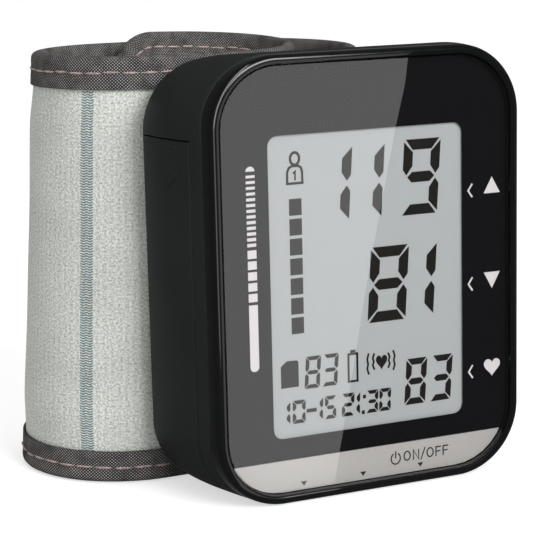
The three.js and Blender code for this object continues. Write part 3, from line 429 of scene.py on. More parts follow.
def side_at(depth):
    """Half of the case's width: the skirt widens, and then the sides swell out."""
    size = case()
    spread = size.skirt_spread * share_between(depth, 0, size.skirt)
    swell_share = share_between(depth, size.skirt, size.depth - size.back_round)
    return size.width / 2 + spread + size.swell * math.sin(swell_share * QUARTER)


def top_at(depth):
    """The case's height, which falls a little towards the back."""
    size = case()
    return size.height - size.top_fall * share_between(depth, size.skirt, size.depth) ** 2


def case_ring(depth, inset, form_depth=None):
    """The case's outline drawn in by an inset. form_depth is the depth that it is taken from."""
    size = case()
    form_depth = depth if form_depth is None else form_depth
    side = side_at(form_depth) - inset
    outline = rounded_outline(
        -side, side, inset, top_at(form_depth) - inset, size.corner - inset, CORNER_STEPS
    )
    return [placed(x, depth, z) for x, z in outline]


def quarter_round(radius, steps=ROUND_STEPS):
    """Pairs of reach and inset round a quarter circle, from the side to the end."""
    pairs = []
    for step in range(steps + 1):
        angle = QUARTER * step / steps
        pairs.append((radius * math.sin(angle), radius * (1 - math.cos(angle))))
    return pairs


def cover_rings():
    """The front cover's closed section, from the parting line over the rim into the pocket."""
    size, front = case(), face()
    rings = []
    for reach, inset in reversed(quarter_round(size.seam_round, 4)):
        rings.append(case_ring(size.skirt - size.seam_round + reach, inset))
    for reach, inset in quarter_round(size.rim_round):
        rings.append(case_ring(size.rim_round - reach, inset))
    for reach, inset in reversed(quarter_round(size.crest_round, 6)):
        rings.append(case_ring(size.crest_round - reach, size.rim_width - inset, 0))
    floor_inset = size.rim_width + 2 * size.wall
    tongue_inset = size.wall + 2 * size.seam
    tongue_inside = tongue_inset + size.wall / 2
    rings.append(case_ring(front.pocket_floor, size.rim_width, 0))
    rings.append(case_ring(front.pocket_floor, floor_inset, 0))
    rings.append(case_ring(front.floor_back, floor_inset, 0))
    rings.append(case_ring(front.floor_back, tongue_inside, size.skirt))
    rings.append(case_ring(front.tongue_end, tongue_inside, size.skirt))
    rings.append(case_ring(front.tongue_end, tongue_inset, size.skirt))
    rings.append(case_ring(size.skirt, tongue_inset, size.skirt))
    return rings


def housing_body(front, inset, round_front, round_back):
    """A solid form of the housing, drawn in by an inset."""
    size = case()
    rings = []
    if round_front:
        for reach, more in reversed(quarter_round(round_front, 4)[1:]):
            rings.append(case_ring(front + round_front - reach, inset + more))
        front = front + round_front
    back = size.depth - size.back_round if round_back else size.depth - inset
    for step in range(SWELL_STEPS + 1):
        rings.append(case_ring(front + (back - front) * step / SWELL_STEPS, inset))
    if round_back:
        for reach, more in quarter_round(round_back)[1:]:
            rings.append(case_ring(back + reach, inset + more))
    return make_object("Housing", *skin(rings))


def housing_wall():
    """The housing's moulded wall before it is cut."""
    size = case()
    front = size.skirt + size.seam
    outer = housing_body(front, 0, size.seam_round, size.back_round)
    inner = housing_body(front - size.wall, size.wall, 0, 0)
    return combine(outer, "DIFFERENCE", inner)


def door_block(shrink):
    """A block over the battery door's place, as a tool. All its sides but the left are drawn in."""
    size, panel = case(), door()
    left = -side_at(size.depth) - size.wall
    low = (left, panel.front + shrink, panel.bottom + shrink)
    high = (panel.wrap - size.width / 2 - shrink, panel.back - shrink, panel.top - shrink)
    return block(low, high)


DOT_STEPS = 10
LINE_RISE = 0.1 * MM
MARK_ROOT = 0.05 * MM  # how deep the raised marks are rooted in the door
# Each ring of a grip dot: its share of the dot's radius, and how far out it stands
DOT_RINGS = ((1, -MARK_ROOT), (1, 0.03 * MM), (0.8, 0.12 * MM), (0.4, 0.17 * MM))


def on_side(y, z, out):
    """A point out from the case's left side."""
    return placed(-side_at(y) - out, y, z)


def raised_dot(y, z):
    """A low round dot on the case's left side."""
    radius = door().dot_radius
    rings = []
    for share, out in DOT_RINGS:
        ring = []
        for step in range(DOT_STEPS):
            angle = 4 * QUARTER * step / DOT_STEPS
            across = radius * share * math.cos(angle)
            ring.append(on_side(y + across, z + radius * share * math.sin(angle), out))
        rings.append(ring)
    return skin(rings)


def raised_line(panel):
    """A fine slanting line below the dots."""
    half = panel.dot_radius / 2
    top = panel.mark_z - panel.line_drop
    rings = []
    for share in (0, 0.5, 1):
        y = panel.mark_y + panel.line_reach * share
        z = top - panel.line_fall * share
        places = ((half, -MARK_ROOT), (half, LINE_RISE), (-half, LINE_RISE), (-half, -MARK_ROOT))
        rings.append([on_side(y, z + up, out) for up, out in places])
    return skin(rings)


KEY_NAMES = ("set_key", "memory_key", "power_key")
KEY_Y = 11.5 * MM
KEY_WIDTH = 9.4 * MM
KEY_DEPTH = 4.8 * MM
KEY_SINK = 0.3 * MM  # from the case's underside up to a key's face
KEY_TOP = 3 * MM
KEY_ROUND = 0.7 * MM
KEY_GAP = 0.25 * MM
ROUND_END_SHARE = 0.999  # a corner radius just under half of the key's depth


def key_middle(name):
    low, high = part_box(name)
    return (low.x + high.x) / 2 - FACE_MIDDLE


def key_rings(x, grow, heights):
    """Rings of a key's round-ended outline, from pairs of height and inset."""
    rings = []
    for z, inset in heights:
        radius = KEY_DEPTH / 2 + grow - inset
        half = KEY_WIDTH / 2 + grow - inset
        corner = radius * ROUND_END_SHARE
        outline = rounded_outline(x - half, x + half, KEY_Y - radius, KEY_Y + radius, corner, 10)
        rings.append([placed(across, deep, z) for across, deep in outline])
    return rings


def edge_break(piece, width):
    """Rounds a piece's sharp edges a little, so that they catch the light."""
    bevel = piece.modifiers.new("Edge break", "BEVEL")
    bevel.width = width
    bevel.segments = 2
    bevel.limit_method = "ANGLE"
    bevel.angle_limit = math.radians(50)
    bevel.use_clamp_overlap = True
    settle(piece)


# Materials

MIXED_COLOUR = {"data_type": "RGBA"}
MULTIPLIED_COLOUR = {"data_type": "RGBA", "blend_type": "MULTIPLY"}
WAVE_PERIOD = math.pi / 10  # times this, a wave texture's scale counts its periods
STRIPE_STITCH = 0.5 * MM


def add_node(owner, kind, output=0, settings=None, **inputs):
    """Adds a node and gives one of its outputs. An input is a value, or a socket to link.

    An input is called by its name, or by its number after an underscore. A map range takes 1 to 2
    onto 3 to 4. A mix has its share at 0 and its two ends at 2 and 3, or at 6 and 7 for colours.
    """
    tree = owner.node_tree
    node = tree.nodes.new(kind)
    for name, value in (settings or {}).items():
        setattr(node, name, value)
    for name, value in inputs.items():
        socket = node.inputs[int(name[1:])] if name[0] == "_" else node.inputs[name.replace("_", " ")]
        if isinstance(value, bpy.types.NodeSocket):
            tree.links.new(value, socket)
        else:
            socket.default_value = value
    return node.outputs[output] if node.outputs else None


def new_material(name):
    material = bpy.data.materials.new(name)
    material.use_nodes = True
    material.node_tree.nodes.clear()
    return material


def rgba(values, factor=1.0):
    """A colour for a socket, made darker or lighter by a factor."""
    return (*(min(1, value * factor) for value in values[:3]), 1)


def polished_black_abs():
    """ABS moulded in a polished tool: a sharp faint reflection over a near-black body."""
    material = new_material("Polished black ABS")
    place = add_node(material, "ShaderNodeTexCoord", "Object")
    wave = add_node(material, "ShaderNodeTexNoise", Vector=place, Scale=1 / (22 * MM), Detail=1)
    haze = add_node(material, "ShaderNodeTexNoise", Vector=place, Scale=1 / (2 * MM), Detail=2)
    dark, light = rgba(colours().gloss_black, 0.9), rgba(colours().gloss_black, 1.1)
    tone = add_node(material, "ShaderNodeMix", 2, MIXED_COLOUR, _0=wave, _6=dark, _7=light)
    polish = add_node(material, "ShaderNodeMapRange", Value=haze, _1=0.3, _2=0.7, _3=0.1, _4=0.15)
    body = add_node(
        material,
        "ShaderNodeBsdfPrincipled",
        Base_Color=tone,
        Roughness=polish,
        IOR=1.53,
        Specular_IOR_Level=0.4,
        Normal=add_node(material, "ShaderNodeBump", Distance=0.01 * MM, Height=wave),
    )
    add_node(material, "ShaderNodeOutputMaterial", Surface=body)
    return material


def spark_textured_abs():
    """ABS moulded in a spark-eroded tool: a fine even grain that spreads the highlight."""
    material = new_material("Spark-textured charcoal ABS")
    place = add_node(material, "ShaderNodeTexCoord", "Object")
    # The real grain is about 0.1 mm. It is drawn at 0.3 mm so that it shows.
    grain = add_node(material, "ShaderNodeTexNoise", Vector=place, Scale=1 / (0.3 * MM), Detail=3)
    cloud = add_node(material, "ShaderNodeTexNoise", Vector=place, Scale=1 / (14 * MM), Detail=2)
    dark, light = rgba(colours().charcoal, 0.85), rgba(colours().charcoal, 1.15)
    tone = add_node(material, "ShaderNodeMix", 2, MIXED_COLOUR, _0=cloud, _6=dark, _7=light)
    spread = add_node(material, "ShaderNodeMapRange", Value=grain, _1=0.3, _2=0.7, _3=0.45, _4=0.6)
    body = add_node(
        material,
        "ShaderNodeBsdfPrincipled",
        Base_Color=tone,
        Roughness=spread,
        IOR=1.53,
        Specular_IOR_Level=0.12,
        Normal=add_node(material, "ShaderNodeBump", Distance=0.012 * MM, Height=grain),
    )
    add_node(material, "ShaderNodeOutputMaterial", Surface=body)
    return material


def clear_acrylic():
    """Cast acrylic with a hard coat: see-through, with a clean reflection that grows at a glance."""
    material = new_material("Clear coated acrylic")
    # Only the front face mirrors, with the reflection of both, so no light is caught inside.
    glance = add_node(material, "ShaderNodeFresnel", IOR=1.72)
    inside = add_node(material, "ShaderNodeNewGeometry", "Backfacing")
    mirrored = add_node(material, "ShaderNodeMix", 0, _0=inside, _2=glance, _3=0)
    clear = add_node(material, "ShaderNodeBsdfTransparent", Color=(1, 1, 1, 1))
    gloss = add_node(material, "ShaderNodeBsdfGlossy", Color=(1, 1, 1, 1), Roughness=0.0)
    mixed = add_node(material, "ShaderNodeMixShader", _0=mirrored, _1=clear, _2=gloss)
    add_node(material, "ShaderNodeOutputMaterial", Surface=mixed)
    return material


def speckled(name, ink, roughness, grain, spread=0.08, relief=0.004, metallic=0.0, specular=0.1):
    """An even finish with the fine grain of its pigment. grain and relief are in millimetres."""
    material = new_material(name)
    place = add_node(material, "ShaderNodeTexCoord", "Object")
    speck = add_node(material, "ShaderNodeTexNoise", Vector=place, Scale=1 / (grain * MM), Detail=3)
    dark, light = rgba(ink, 1 - spread), rgba(ink, 1 + spread)
    tone = add_node(material, "ShaderNodeMix", 2, MIXED_COLOUR, _0=speck, _6=dark, _7=light)
    dull = add_node(
        material, "ShaderNodeMapRange", Value=speck, _1=0.3, _2=0.7, _3=roughness, _4=roughness + 0.1
    )
    body = add_node(
        material,
        "ShaderNodeBsdfPrincipled",
        Base_Color=tone,
        Roughness=dull,
        Metallic=metallic,
        Specular_IOR_Level=specular,
        Normal=add_node(material, "ShaderNodeBump", Distance=relief * MM, Height=speck),
    )
    add_node(material, "ShaderNodeOutputMaterial", Surface=body)
    return material


def moulding(name, hex_colour, roughness, grain=0.4, relief=0.01, metallic=0.0):
    """A moulded, plated or woven part with its own grain and a little variation of tone."""
    return speckled(name, linear(hex_colour), roughness, grain, 0.13, relief, metallic, 0.5)


def stripe_share(material, flat):
    """One on the threads of the woven stripe, whose two columns have slanting stitches."""
    size = cuff()
    left = size.stripe_place - size.stripe_width / 2
    right = size.stripe_place + size.stripe_width / 2
    parts = add_node(material, "ShaderNodeSeparateXYZ", Vector=flat).node
    along, up = parts.outputs["X"], parts.outputs["Y"]
    unclamped = {"clamp": False}
    across = add_node(
        material, "ShaderNodeMapRange", 0, unclamped, Value=along, _1=left, _2=right, _3=-1, _4=1
    )
    away = add_node(material, "ShaderNodeMath", 0, {"operation": "ABSOLUTE"}, _0=across)
    inside = add_node(material, "ShaderNodeMath", 0, {"operation": "LESS_THAN"}, _0=away, _1=1)
    column = add_node(material, "ShaderNodeMath", 0, {"operation": "PINGPONG"}, _0=away, _1=0.5)
    count = 1 / STRIPE_STITCH
    slant = add_node(
        material, "ShaderNodeMath", 0, {"operation": "MULTIPLY_ADD"}, _0=up, _1=count, _2=column
    )
    step = add_node(material, "ShaderNodeMath", 0, {"operation": "FRACT"}, _0=slant)
    thread = add_node(material, "ShaderNodeMapRange", Value=step, _1=0.45, _2=0.6, _3=0.05, _4=1)
    return add_node(material, "ShaderNodeMath", 0, {"operation": "MULTIPLY"}, _0=inside, _1=thread)


def brushed_loop_cloth():
    """Warp-knitted nylon with its loops brushed up: a soft bright nap over fine wales."""
    material = new_material("Brushed loop cloth")
    flat = add_node(material, "ShaderNodeTexCoord", "UV")
    # The real loops are about 0.3 mm. They are drawn at 0.4 mm so that they show.
    nap = add_node(material, "ShaderNodeTexNoise", Vector=flat, Scale=1 / (0.4 * MM), Detail=2)
    cloud = add_node(material, "ShaderNodeTexNoise", Vector=flat, Scale=1 / (9 * MM), Detail=3)
    scale = WAVE_PERIOD / (1.3 * MM)
    wales = add_node(
        material, "ShaderNodeTexWave", "Fac", Vector=flat, Scale=scale, Distortion=3, Detail=2
    )
    loops = add_node(material, "ShaderNodeMix", 0, _0=0.05, _2=nap, _3=wales)
    contrast = add_node(material, "ShaderNodeMapRange", Value=loops, _1=0.3, _2=0.66)
    light = colours().cloth
    deep, high = rgba(light, 0.62), rgba(light, 1.25)
    tone = add_node(material, "ShaderNodeMix", 2, MIXED_COLOUR, _0=contrast, _6=deep, _7=high)
    share, stripe = stripe_share(material, flat), rgba(colours().stripe)
    striped = add_node(material, "ShaderNodeMix", 2, MIXED_COLOUR, _0=share, _6=tone, _7=stripe)
    shading = add_node(material, "ShaderNodeMapRange", Value=cloud, _1=0.3, _2=0.7, _3=0.93, _4=1.05)
    shaded = add_node(
        material, "ShaderNodeMix", 2, MULTIPLIED_COLOUR, _0=1.0, _6=striped, _7=shading
    )
    body = add_node(
        material,
        "ShaderNodeBsdfPrincipled",
        Base_Color=shaded,
        Roughness=0.95,
        Sheen_Weight=0.15,
        Sheen_Roughness=0.5,
        Specular_IOR_Level=0.15,
        Normal=add_node(material, "ShaderNodeBump", Distance=0.3 * MM, Height=loops),
    )
    add_node(material, "ShaderNodeOutputMaterial", Surface=body)
    return material


def knitted_lining():
    """Plain dark tricot that lies against the skin: a low fine grain of lighter threads."""
    material = new_material("Knitted lining")
    flat = add_node(material, "ShaderNodeTexCoord", "UV")
    grain = add_node(material, "ShaderNodeTexNoise", Vector=flat, Scale=1 / (0.5 * MM), Detail=3)
    contrast = add_node(material, "ShaderNodeMapRange", Value=grain, _1=0.35, _2=0.65)
    dark, light = rgba(colours().lining, 0.5), rgba(colours().lining, 1.5)
    tone = add_node(material, "ShaderNodeMix", 2, MIXED_COLOUR, _0=contrast, _6=dark, _7=light)
    body = add_node(
        material,
        "ShaderNodeBsdfPrincipled",
        Base_Color=tone,
        Roughness=0.9,
        Sheen_Weight=0.15,
        Specular_IOR_Level=0.15,
        Normal=add_node(material, "ShaderNodeBump", Distance=0.15 * MM, Height=grain),
    )
    add_node(material, "ShaderNodeOutputMaterial", Surface=body)
    return material


def woven_webbing():
    """Polyester tape woven in ribs: rows of light dots where the weft floats over a dark warp."""
    material = new_material("Woven binding tape")
    flat = add_node(material, "ShaderNodeTexCoord", "UV")
    # Two slanting waves cross in staggered dots. The real threads are 0.42 mm apart. The dots
    # of a column are drawn 0.6 mm apart so that they show.
    spacing = 0.6 * MM
    slanting = {"bands_direction": "DIAGONAL"}
    mirrored = add_node(material, "ShaderNodeMapping", Vector=flat, Scale=(1, -1, 1))
    scale = 2 * WAVE_PERIOD / spacing
    ribs = add_node(
        material, "ShaderNodeTexWave", "Fac", slanting, Vector=flat, Scale=scale, Distortion=0.6
    )
    rows = add_node(
        material, "ShaderNodeTexWave", "Fac", slanting, Vector=mirrored, Scale=scale, Distortion=0.6
    )
    wear = add_node(material, "ShaderNodeTexNoise", Vector=flat, Scale=1 / (3 * MM), Detail=3)
    dots = add_node(material, "ShaderNodeMath", 0, {"operation": "MULTIPLY"}, _0=ribs, _1=rows)
    worn = add_node(material, "ShaderNodeMath", 0, {"operation": "MULTIPLY"}, _0=dots, _1=wear)
    share = add_node(material, "ShaderNodeMapRange", Value=worn, _1=0.08, _2=0.42)
    dark, light = rgba(colours().tape), rgba(colours().tape_dot)
    tone = add_node(material, "ShaderNodeMix", 2, MIXED_COLOUR, _0=share, _6=dark, _7=light)
    body = add_node(
        material,
        "ShaderNodeBsdfPrincipled",
        Base_Color=tone,
        Roughness=0.75,
        Specular_IOR_Level=0.25,
        Normal=add_node(material, "ShaderNodeBump", Distance=0.1 * MM, Height=dots),
    )
    add_node(material, "ShaderNodeOutputMaterial", Surface=body)
    return material


def sewing_thread():
    """Twisted polyester thread: light and dark turns of its plies along each stitch."""
    material = new_material("Sewing thread")
    place = add_node(material, "ShaderNodeTexCoord", "Object")
    twist = add_node(material, "ShaderNodeTexNoise", Vector=place, Scale=1 / (0.4 * MM), Detail=2)
    contrast = add_node(material, "ShaderNodeMapRange", Value=twist, _1=0.35, _2=0.65)
    dark, light = rgba(colours().thread, 0.6), rgba(colours().thread, 1.3)
    tone = add_node(material, "ShaderNodeMix", 2, MIXED_COLOUR, _0=contrast, _6=dark, _7=light)
    body = add_node(
        material,
        "ShaderNodeBsdfPrincipled",
        Base_Color=tone,
        Roughness=0.6,
        Sheen_Weight=0.2,
        Normal=add_node(material, "ShaderNodeBump", Distance=0.08 * MM, Height=twist),
    )
    add_node(material, "ShaderNodeOutputMaterial", Surface=body)
    return material


def pale_floor():
    """A matt pale sweep. The camera sees it brighter, mirrors see it dark, and it keeps the shadow."""
    material = new_material("Pale studio floor")
    ray = add_node(material, "ShaderNodeLightPath").node
    direct, through = ray.outputs["Is Camera Ray"], ray.outputs["Is Transmission Ray"]
    seen = add_node(material, "ShaderNodeMath", 0, {"operation": "MAXIMUM"}, _0=direct, _1=through)
    glow = add_node(material, "ShaderNodeMapRange", Value=seen, _3=0, _4=FLOOR_GLOW)
    matt = add_node(material, "ShaderNodeBsdfDiffuse", Color=rgba(linear("#DCDCDC")))
    light = add_node(material, "ShaderNodeEmission", Color=(1, 1, 1, 1), Strength=glow)
    both = add_node(material, "ShaderNodeAddShader", _0=matt, _1=light)
    dim = add_node(material, "ShaderNodeEmission", Color=(1, 1, 1, 1), Strength=ROOM_MIRRORED)
    mirrored = ray.outputs["Is Glossy Ray"]
    result = add_node(material, "ShaderNodeMixShader", _0=mirrored, _1=both, _2=dim)
    add_node(material, "ShaderNodeOutputMaterial", Surface=result)
    return material


def card(name, strength):
    """A card of even brightness that only reflections see."""
    material = new_material(name)
    even = add_node(material, "ShaderNodeEmission", Color=(1, 1, 1, 1), Strength=strength)
    add_node(material, "ShaderNodeOutputMaterial", Surface=even)
    return material


MATERIALS = {}


def material_named(key):
    """The shared material of a finish, made when it is first asked for."""
    ink = colours()
    makers = {
        "gloss_black_plastic": polished_black_abs,
        "matte_charcoal_plastic": spark_textured_abs,
        "clear_lens": clear_acrylic,
        "light_loop_cloth": brushed_loop_cloth,
        "dark_cloth": knitted_lining,
        "woven_tape": woven_webbing,
        "thread": sewing_thread,
        # Inks: flat matt colour that barely mirrors the room, and silver with flakes in it
        "black_print": lambda: speckled(
            "Black screen ink", ink.mask, 0.6, 0.3, spread=0.05, relief=0, specular=0.02
        ),
        "silver_foil": lambda: speckled(
            "Satin silver ink", ink.silver, 0.5, 0.3, spread=0.2, metallic=0.2, specular=0.3
        ),
        "white_ink": lambda: speckled("White screen ink", ink.white_ink, 0.6, 0.3, spread=0.04),
        "dark_ink": lambda: speckled("Dark screen ink", ink.dark_ink, 0.6, 0.3, spread=0.04),
        # The display: an even grey-green sheet, and nearly black figures on it
        "display_glass": lambda: speckled("Reflective polariser", ink.polariser, 0.6, 2, spread=0.015),
        "segment": lambda: speckled("Dark liquid crystal", ink.segment, 0.5, 0.4, specular=0.05),
        # Inner plastics and rubbers: dull and even, with a faint cloudiness
        "white_plastic": lambda: moulding("Moulded white ABS", "#E2E2DE", 0.45),
        "grey_rubber": lambda: moulding("Moulded zebra rubber", "#66696C", 0.8),
        "hose_silicone": lambda: moulding("Extruded silicone", "#D8DCDD", 0.5),
        "bladder_film": lambda: moulding("Welded PVC film", "#9AA3A8", 0.4, grain=3),
        # Electric parts: glossy green board, dull black chips, bright steel, satin cell sleeve
        "circuit_board": lambda: moulding("Green solder mask", "#1F5A38", 0.35, grain=0.8),
        "black_component": lambda: moulding("Moulded epoxy", "#1B1B1D", 0.55),
        "steel": lambda: moulding("Zinc-plated steel", "#B9BBBD", 0.28, grain=0.6, metallic=1.0),
        "cell_jacket": lambda: moulding("Printed cell sleeve", "#3C4A58", 0.35, grain=1),
        # A dark pile whose deep grain stands for the hooks
        "hook_nylon": lambda: moulding("Woven hook nylon", "#2A2B2D", 0.8, grain=0.7, relief=0.3),
        # The studio
        "floor": pale_floor,
        "black_card": lambda: card("Black card", BLACK_GLOW),
        "glare_card": lambda: card("Glare card", GLARE),
        "glint_card": lambda: card("Glint card", GLINT),
        "dim_glint_card": lambda: card("Dim glint card", DIM_GLINT),
    }
    if key not in MATERIALS:
        MATERIALS[key] = makers[key]()
    return MATERIALS[key]


# Flat figures of the display and the prints, in millimetres from the window's lower left corner

SHARPEST_MITRE = 0.5

def print_point(x, y, z):
    """A point over the window, from millimetres across and up and its depth."""
    front = face()
    return placed(front.window_left + x * MM, y, front.window_bottom + z * MM)


def leaf(outline, depth):
    """Points and faces of a thin plate over an outline, on the front of a depth."""
    back = depth - face().ink_gap
    return skin([[print_point(x, y, z) for x, z in outline] for y in (back - face().ink, back)])


def ribbon(line, width, depth, closed=False):
    """Points and faces of a line of even width with mitred corners."""
    back = depth - face().ink_gap
    front = back - face().ink
    line = [Vector(point) for point in line]
    last = len(line) - 1
    rings = []
    for index, point in enumerate(line):
        before = line[index - 1] if index or closed else None
        after = line[(index + 1) % (last + 1)] if index < last or closed else None
        first = (point - before if before is not None else after - point).normalized()
        second = (after - point).normalized() if after is not None else first
        heading = (first + second).normalized()
        mitre = max(heading.dot(first), SHARPEST_MITRE)
        side = Vector((-heading.y, heading.x)) * (width / 2 / mitre)
        left, right = point + side, point - side
        corners = ((left, front), (right, front), (right, back), (left, back))
        rings.append([print_point(place.x, y, place.y) for place, y in corners])
    return skin(rings, closed)


def arc(x, z, across, up, start=0.0, end=360.0, steps=20):
    """Points of an ellipse between two angles in degrees, without its last point if whole."""
    count = steps if end - start >= 360 else steps + 1
    points = []
    for step in range(count):
        angle = math.radians(start + (end - start) * step / steps)
        points.append((x + across * math.cos(angle), z + up * math.sin(angle)))
    return points


SEGMENTS = {
    "0": "abcdef",
    "1": "bc",
    "2": "abged",
    "3": "abgcd",
    "5": "afgcd",
    "8": "abcdefg",
    "9": "abcdfg",
}


def segment_shapes(width, height, stroke):
    """The seven parts of a figure as outlines in its own box."""
    middle = height / 2
    top = (
        (0.16 * stroke, height),
        (width - 0.16 * stroke, height),
        (width - 0.95 * stroke, height - stroke),
        (0.95 * stroke, height - stroke),
    )
    upper_right = (
        (width, height - 0.22 * stroke),
        (width - stroke, height - 1.25 * stroke),
        (width - stroke, middle + 1.05 * stroke),
        (width - 0.4 * stroke, middle + 0.22 * stroke),
        (width, middle + 0.75 * stroke),
    )
    bar = (
        (0.5 * stroke, middle),
        (stroke, middle + 0.5 * stroke),
        (width - stroke, middle + 0.5 * stroke),
        (width - 0.5 * stroke, middle),
        (width - stroke, middle - 0.5 * stroke),
        (stroke, middle - 0.5 * stroke),
    )
    lower_right = [(x, height - z) for x, z in upper_right]
    return {
        "a": top,
        "b": upper_right,
        "c": lower_right,
        "d": [(x, height - z) for x, z in top],
        "e": [(width - x, z) for x, z in lower_right],
        "f": [(width - x, z) for x, z in upper_right],
        "g": bar,
    }


def figure(digit, left, bottom, width, height, stroke, slant):
    """The lit parts of one seven-part figure. slant is how far its top leans to the right."""
    shapes = segment_shapes(width, height, stroke)
    skins = []
    for letter in SEGMENTS[digit]:
        outline = [(left + x + slant * z / height, bottom + z) for x, z in shapes[letter]]
        skins.append(leaf(outline, face().glass_depth))
    return skins


def heart_outline(x, z, width, height, steps=28):
    """A heart about a middle. Its curve is about 29 units high, and its middle is below nought."""
    curve_height, curve_middle = 29, -2.5
    points = []
    for step in range(steps):
        angle = 4 * QUARTER * step / steps
        across = math.sin(angle) ** 3
        up = 13 * math.cos(angle) - 5 * math.cos(2 * angle) - 2 * math.cos(3 * angle)
        up -= math.cos(4 * angle)
        points.append((x + across * width / 2, z + (up - curve_middle) * height / curve_height))
    return points


def rectangle(left, bottom, right, top):
    return ((left, bottom), (right, bottom), (right, top), (left, top))


# Each row: its figures, their left sides, their bottom, width, height, stroke and slant
FIGURE_ROWS = (
    ("119", (8.7, 15.5, 27.5), 40.05, 7.85, 14.35, 2.0, 0.95),
    ("81", (20.15, 26.2), 20.1, 8.15, 14.45, 2.05, 0.95),
    ("83", (6.67, 10.37), 9.0, 3.13, 6.15, 0.75, 0.44),
    ("83", (27.86, 33.5), 3.05, 4.55, 9.05, 1.25, 0.62),
    ("10", (0.91, 4.07), 2.58, 2.66, 4.45, 0.72, 0.1),
    ("15", (7.99, 10.77), 2.58, 2.38, 4.45, 0.72, 0.15),
    ("21", (14.37, 15.61), 2.58, 2.62, 4.45, 0.72, 0.15),
    ("30", (19.58, 22.35), 2.58, 2.5, 4.42, 0.72, 0.2),
)


def display_figures():
    """The readings: three large figures, two large, a stored reading, the pulse and a clock."""
    skins = []
    for digits, lefts, bottom, width, height, stroke, slant in FIGURE_ROWS:
        for digit, left in zip(digits, lefts):
            skins += figure(digit, left, bottom, width, height, stroke, slant)
    return skins


# The head has a middle and two radii, a heart a middle, a width and a height.
USER_HEAD = (5.6, 52.6, 0.92, 1.15)
USER_LEFT_SIDE = ((4.0, 48.05), (4.05, 50.2), (4.4, 50.95), (5.0, 51.25))
USER_RIGHT_SIDE = ((6.25, 51.25), (6.8, 50.95), (7.05, 50.2), (7.1, 48.05))
USER_NUMBER = ((5.2, 49.85), (5.65, 50.25), (5.6, 48.6))
SQUARE_COUNT = 7
SQUARE_PITCH = 3.717
SQUARE_HEIGHT = 3.1
SQUARES_LEFT, SQUARES_RIGHT, SQUARES_TOP = 4.28, 6.82, 45.2
STORED_CARD = ((1.87, 9.65), (5.5, 9.7), (5.5, 14.4), (5.2, 14.75), (3.1, 14.8), (1.87, 13.8))
# Each wave beside the heart: its place, bottom, top, and the side that it sways to
LEFT_WAVES = ((19.95, 10.1, 14.25, 1), (21.15, 10.9, 14.1, 1))
RIGHT_WAVES = ((24.8, 10.9, 13.9, -1), (25.9, 10.35, 14.25, -1))
WAVE_SHARES = ((0, 0.35), (0.28, 0), (0.5, 0.22), (0.72, 0), (1, 0.35))
CLOCK_DOTS = ((18.67, 2.52), (18.96, 5.57))
CLOCK_DOT_SIZE = (0.62, 0.72)
DATE_DASH = (7.0, 4.39, 9.12, 5.1)
CELL_BODY = (15.98, 9.25, 17.85, 14.55)
CELL_BUTTON = (16.4, 14.78, 17.5, 15.35)
PULSE_HEART = (23.05, 12.15, 2.45, 2.85)
HEAD_STROKE, BODY_STROKE, NUMBER_STROKE, CELL_STROKE, WAVE_STROKE = 0.5, 0.46, 0.36, 0.42, 0.38


def user_sign(depth):
    """A person with a plain number one."""
    return [
        ribbon(arc(*USER_HEAD), HEAD_STROKE, depth, True),
        ribbon(USER_LEFT_SIDE + USER_RIGHT_SIDE, BODY_STROKE, depth, True),
        ribbon(USER_NUMBER, NUMBER_STROKE, depth),
    ]


def square_row(depth):
    """The squares that fill as the cuff is pumped up."""
    tops = [SQUARES_TOP - SQUARE_PITCH * number for number in range(SQUARE_COUNT)]
    return [
        leaf(rectangle(SQUARES_LEFT, top - SQUARE_HEIGHT, SQUARES_RIGHT, top), depth)
        for top in tops
    ]


def cell_sign(depth):
    """An upright cell with its button."""
    return [
        ribbon(rectangle(*CELL_BODY), CELL_STROKE, depth, True),
        leaf(rectangle(*CELL_BUTTON), depth),
    ]


def pulse_sign(depth):
    """A heart between two pairs of waves."""
    skins = [leaf(heart_outline(*PULSE_HEART), depth)]
    for x, bottom, top, side in LEFT_WAVES + RIGHT_WAVES:
        wave = [(x + side * sway, bottom + (top - bottom) * share) for share, sway in WAVE_SHARES]
        skins.append(ribbon(wave, WAVE_STROKE, depth))
    return skins


def clock_marks(depth):
    """The clock's colon and the date's dash."""
    width, height = CLOCK_DOT_SIZE
    skins = [leaf(rectangle(x, z, x + width, z + height), depth) for x, z in CLOCK_DOTS]
    return skins + [leaf(rectangle(*DATE_DASH), depth)]


def display_icons():
    """The user, the row of squares, the stored reading's card, the cell, the pulse and the clock."""
    depth = face().glass_depth
    skins = user_sign(depth) + square_row(depth) + [leaf(STORED_CARD, depth)]
    return skins + cell_sign(depth) + pulse_sign(depth) + clock_marks(depth)


SCALE_LEFT, SCALE_RIGHT = -4.5, -2.72
SCALE_MIDDLE = (SCALE_LEFT + SCALE_RIGHT) / 2
SCALE_RADIUS = (SCALE_RIGHT - SCALE_LEFT) / 2
CAP_BASE = 51.0
DASH_COUNT, DASH_TOP, DASH_PITCH = 13, 50.3, 1.045
THINNEST_DASH, DASH_GROWTH = 0.5, 0.01
BLOCK_COUNT, BLOCK_TOP, BLOCK_PITCH, BLOCK_HEIGHT = 5, 36.5, 2.02, 1.55
BAR_TOP, BAR_BOTTOM = 26.3, 14.6
POINTER_HEIGHTS = (43.7, 25.45, 8.0)
POINTER_TIP, POINTER_TAIL, POINTER_RISE = 41.95, 42.85, 1.3
POINTER_STROKE = 0.34
UP_SIGN = ((45.4, 42.9), (49.0, 42.9), (47.2, 46.1))
DOWN_SIGN = ((47.2, 24.2), (49.0, 27.4), (45.4, 27.4))
HEART_SIGN = (47.2, 8.3, 3.7, 3.5)


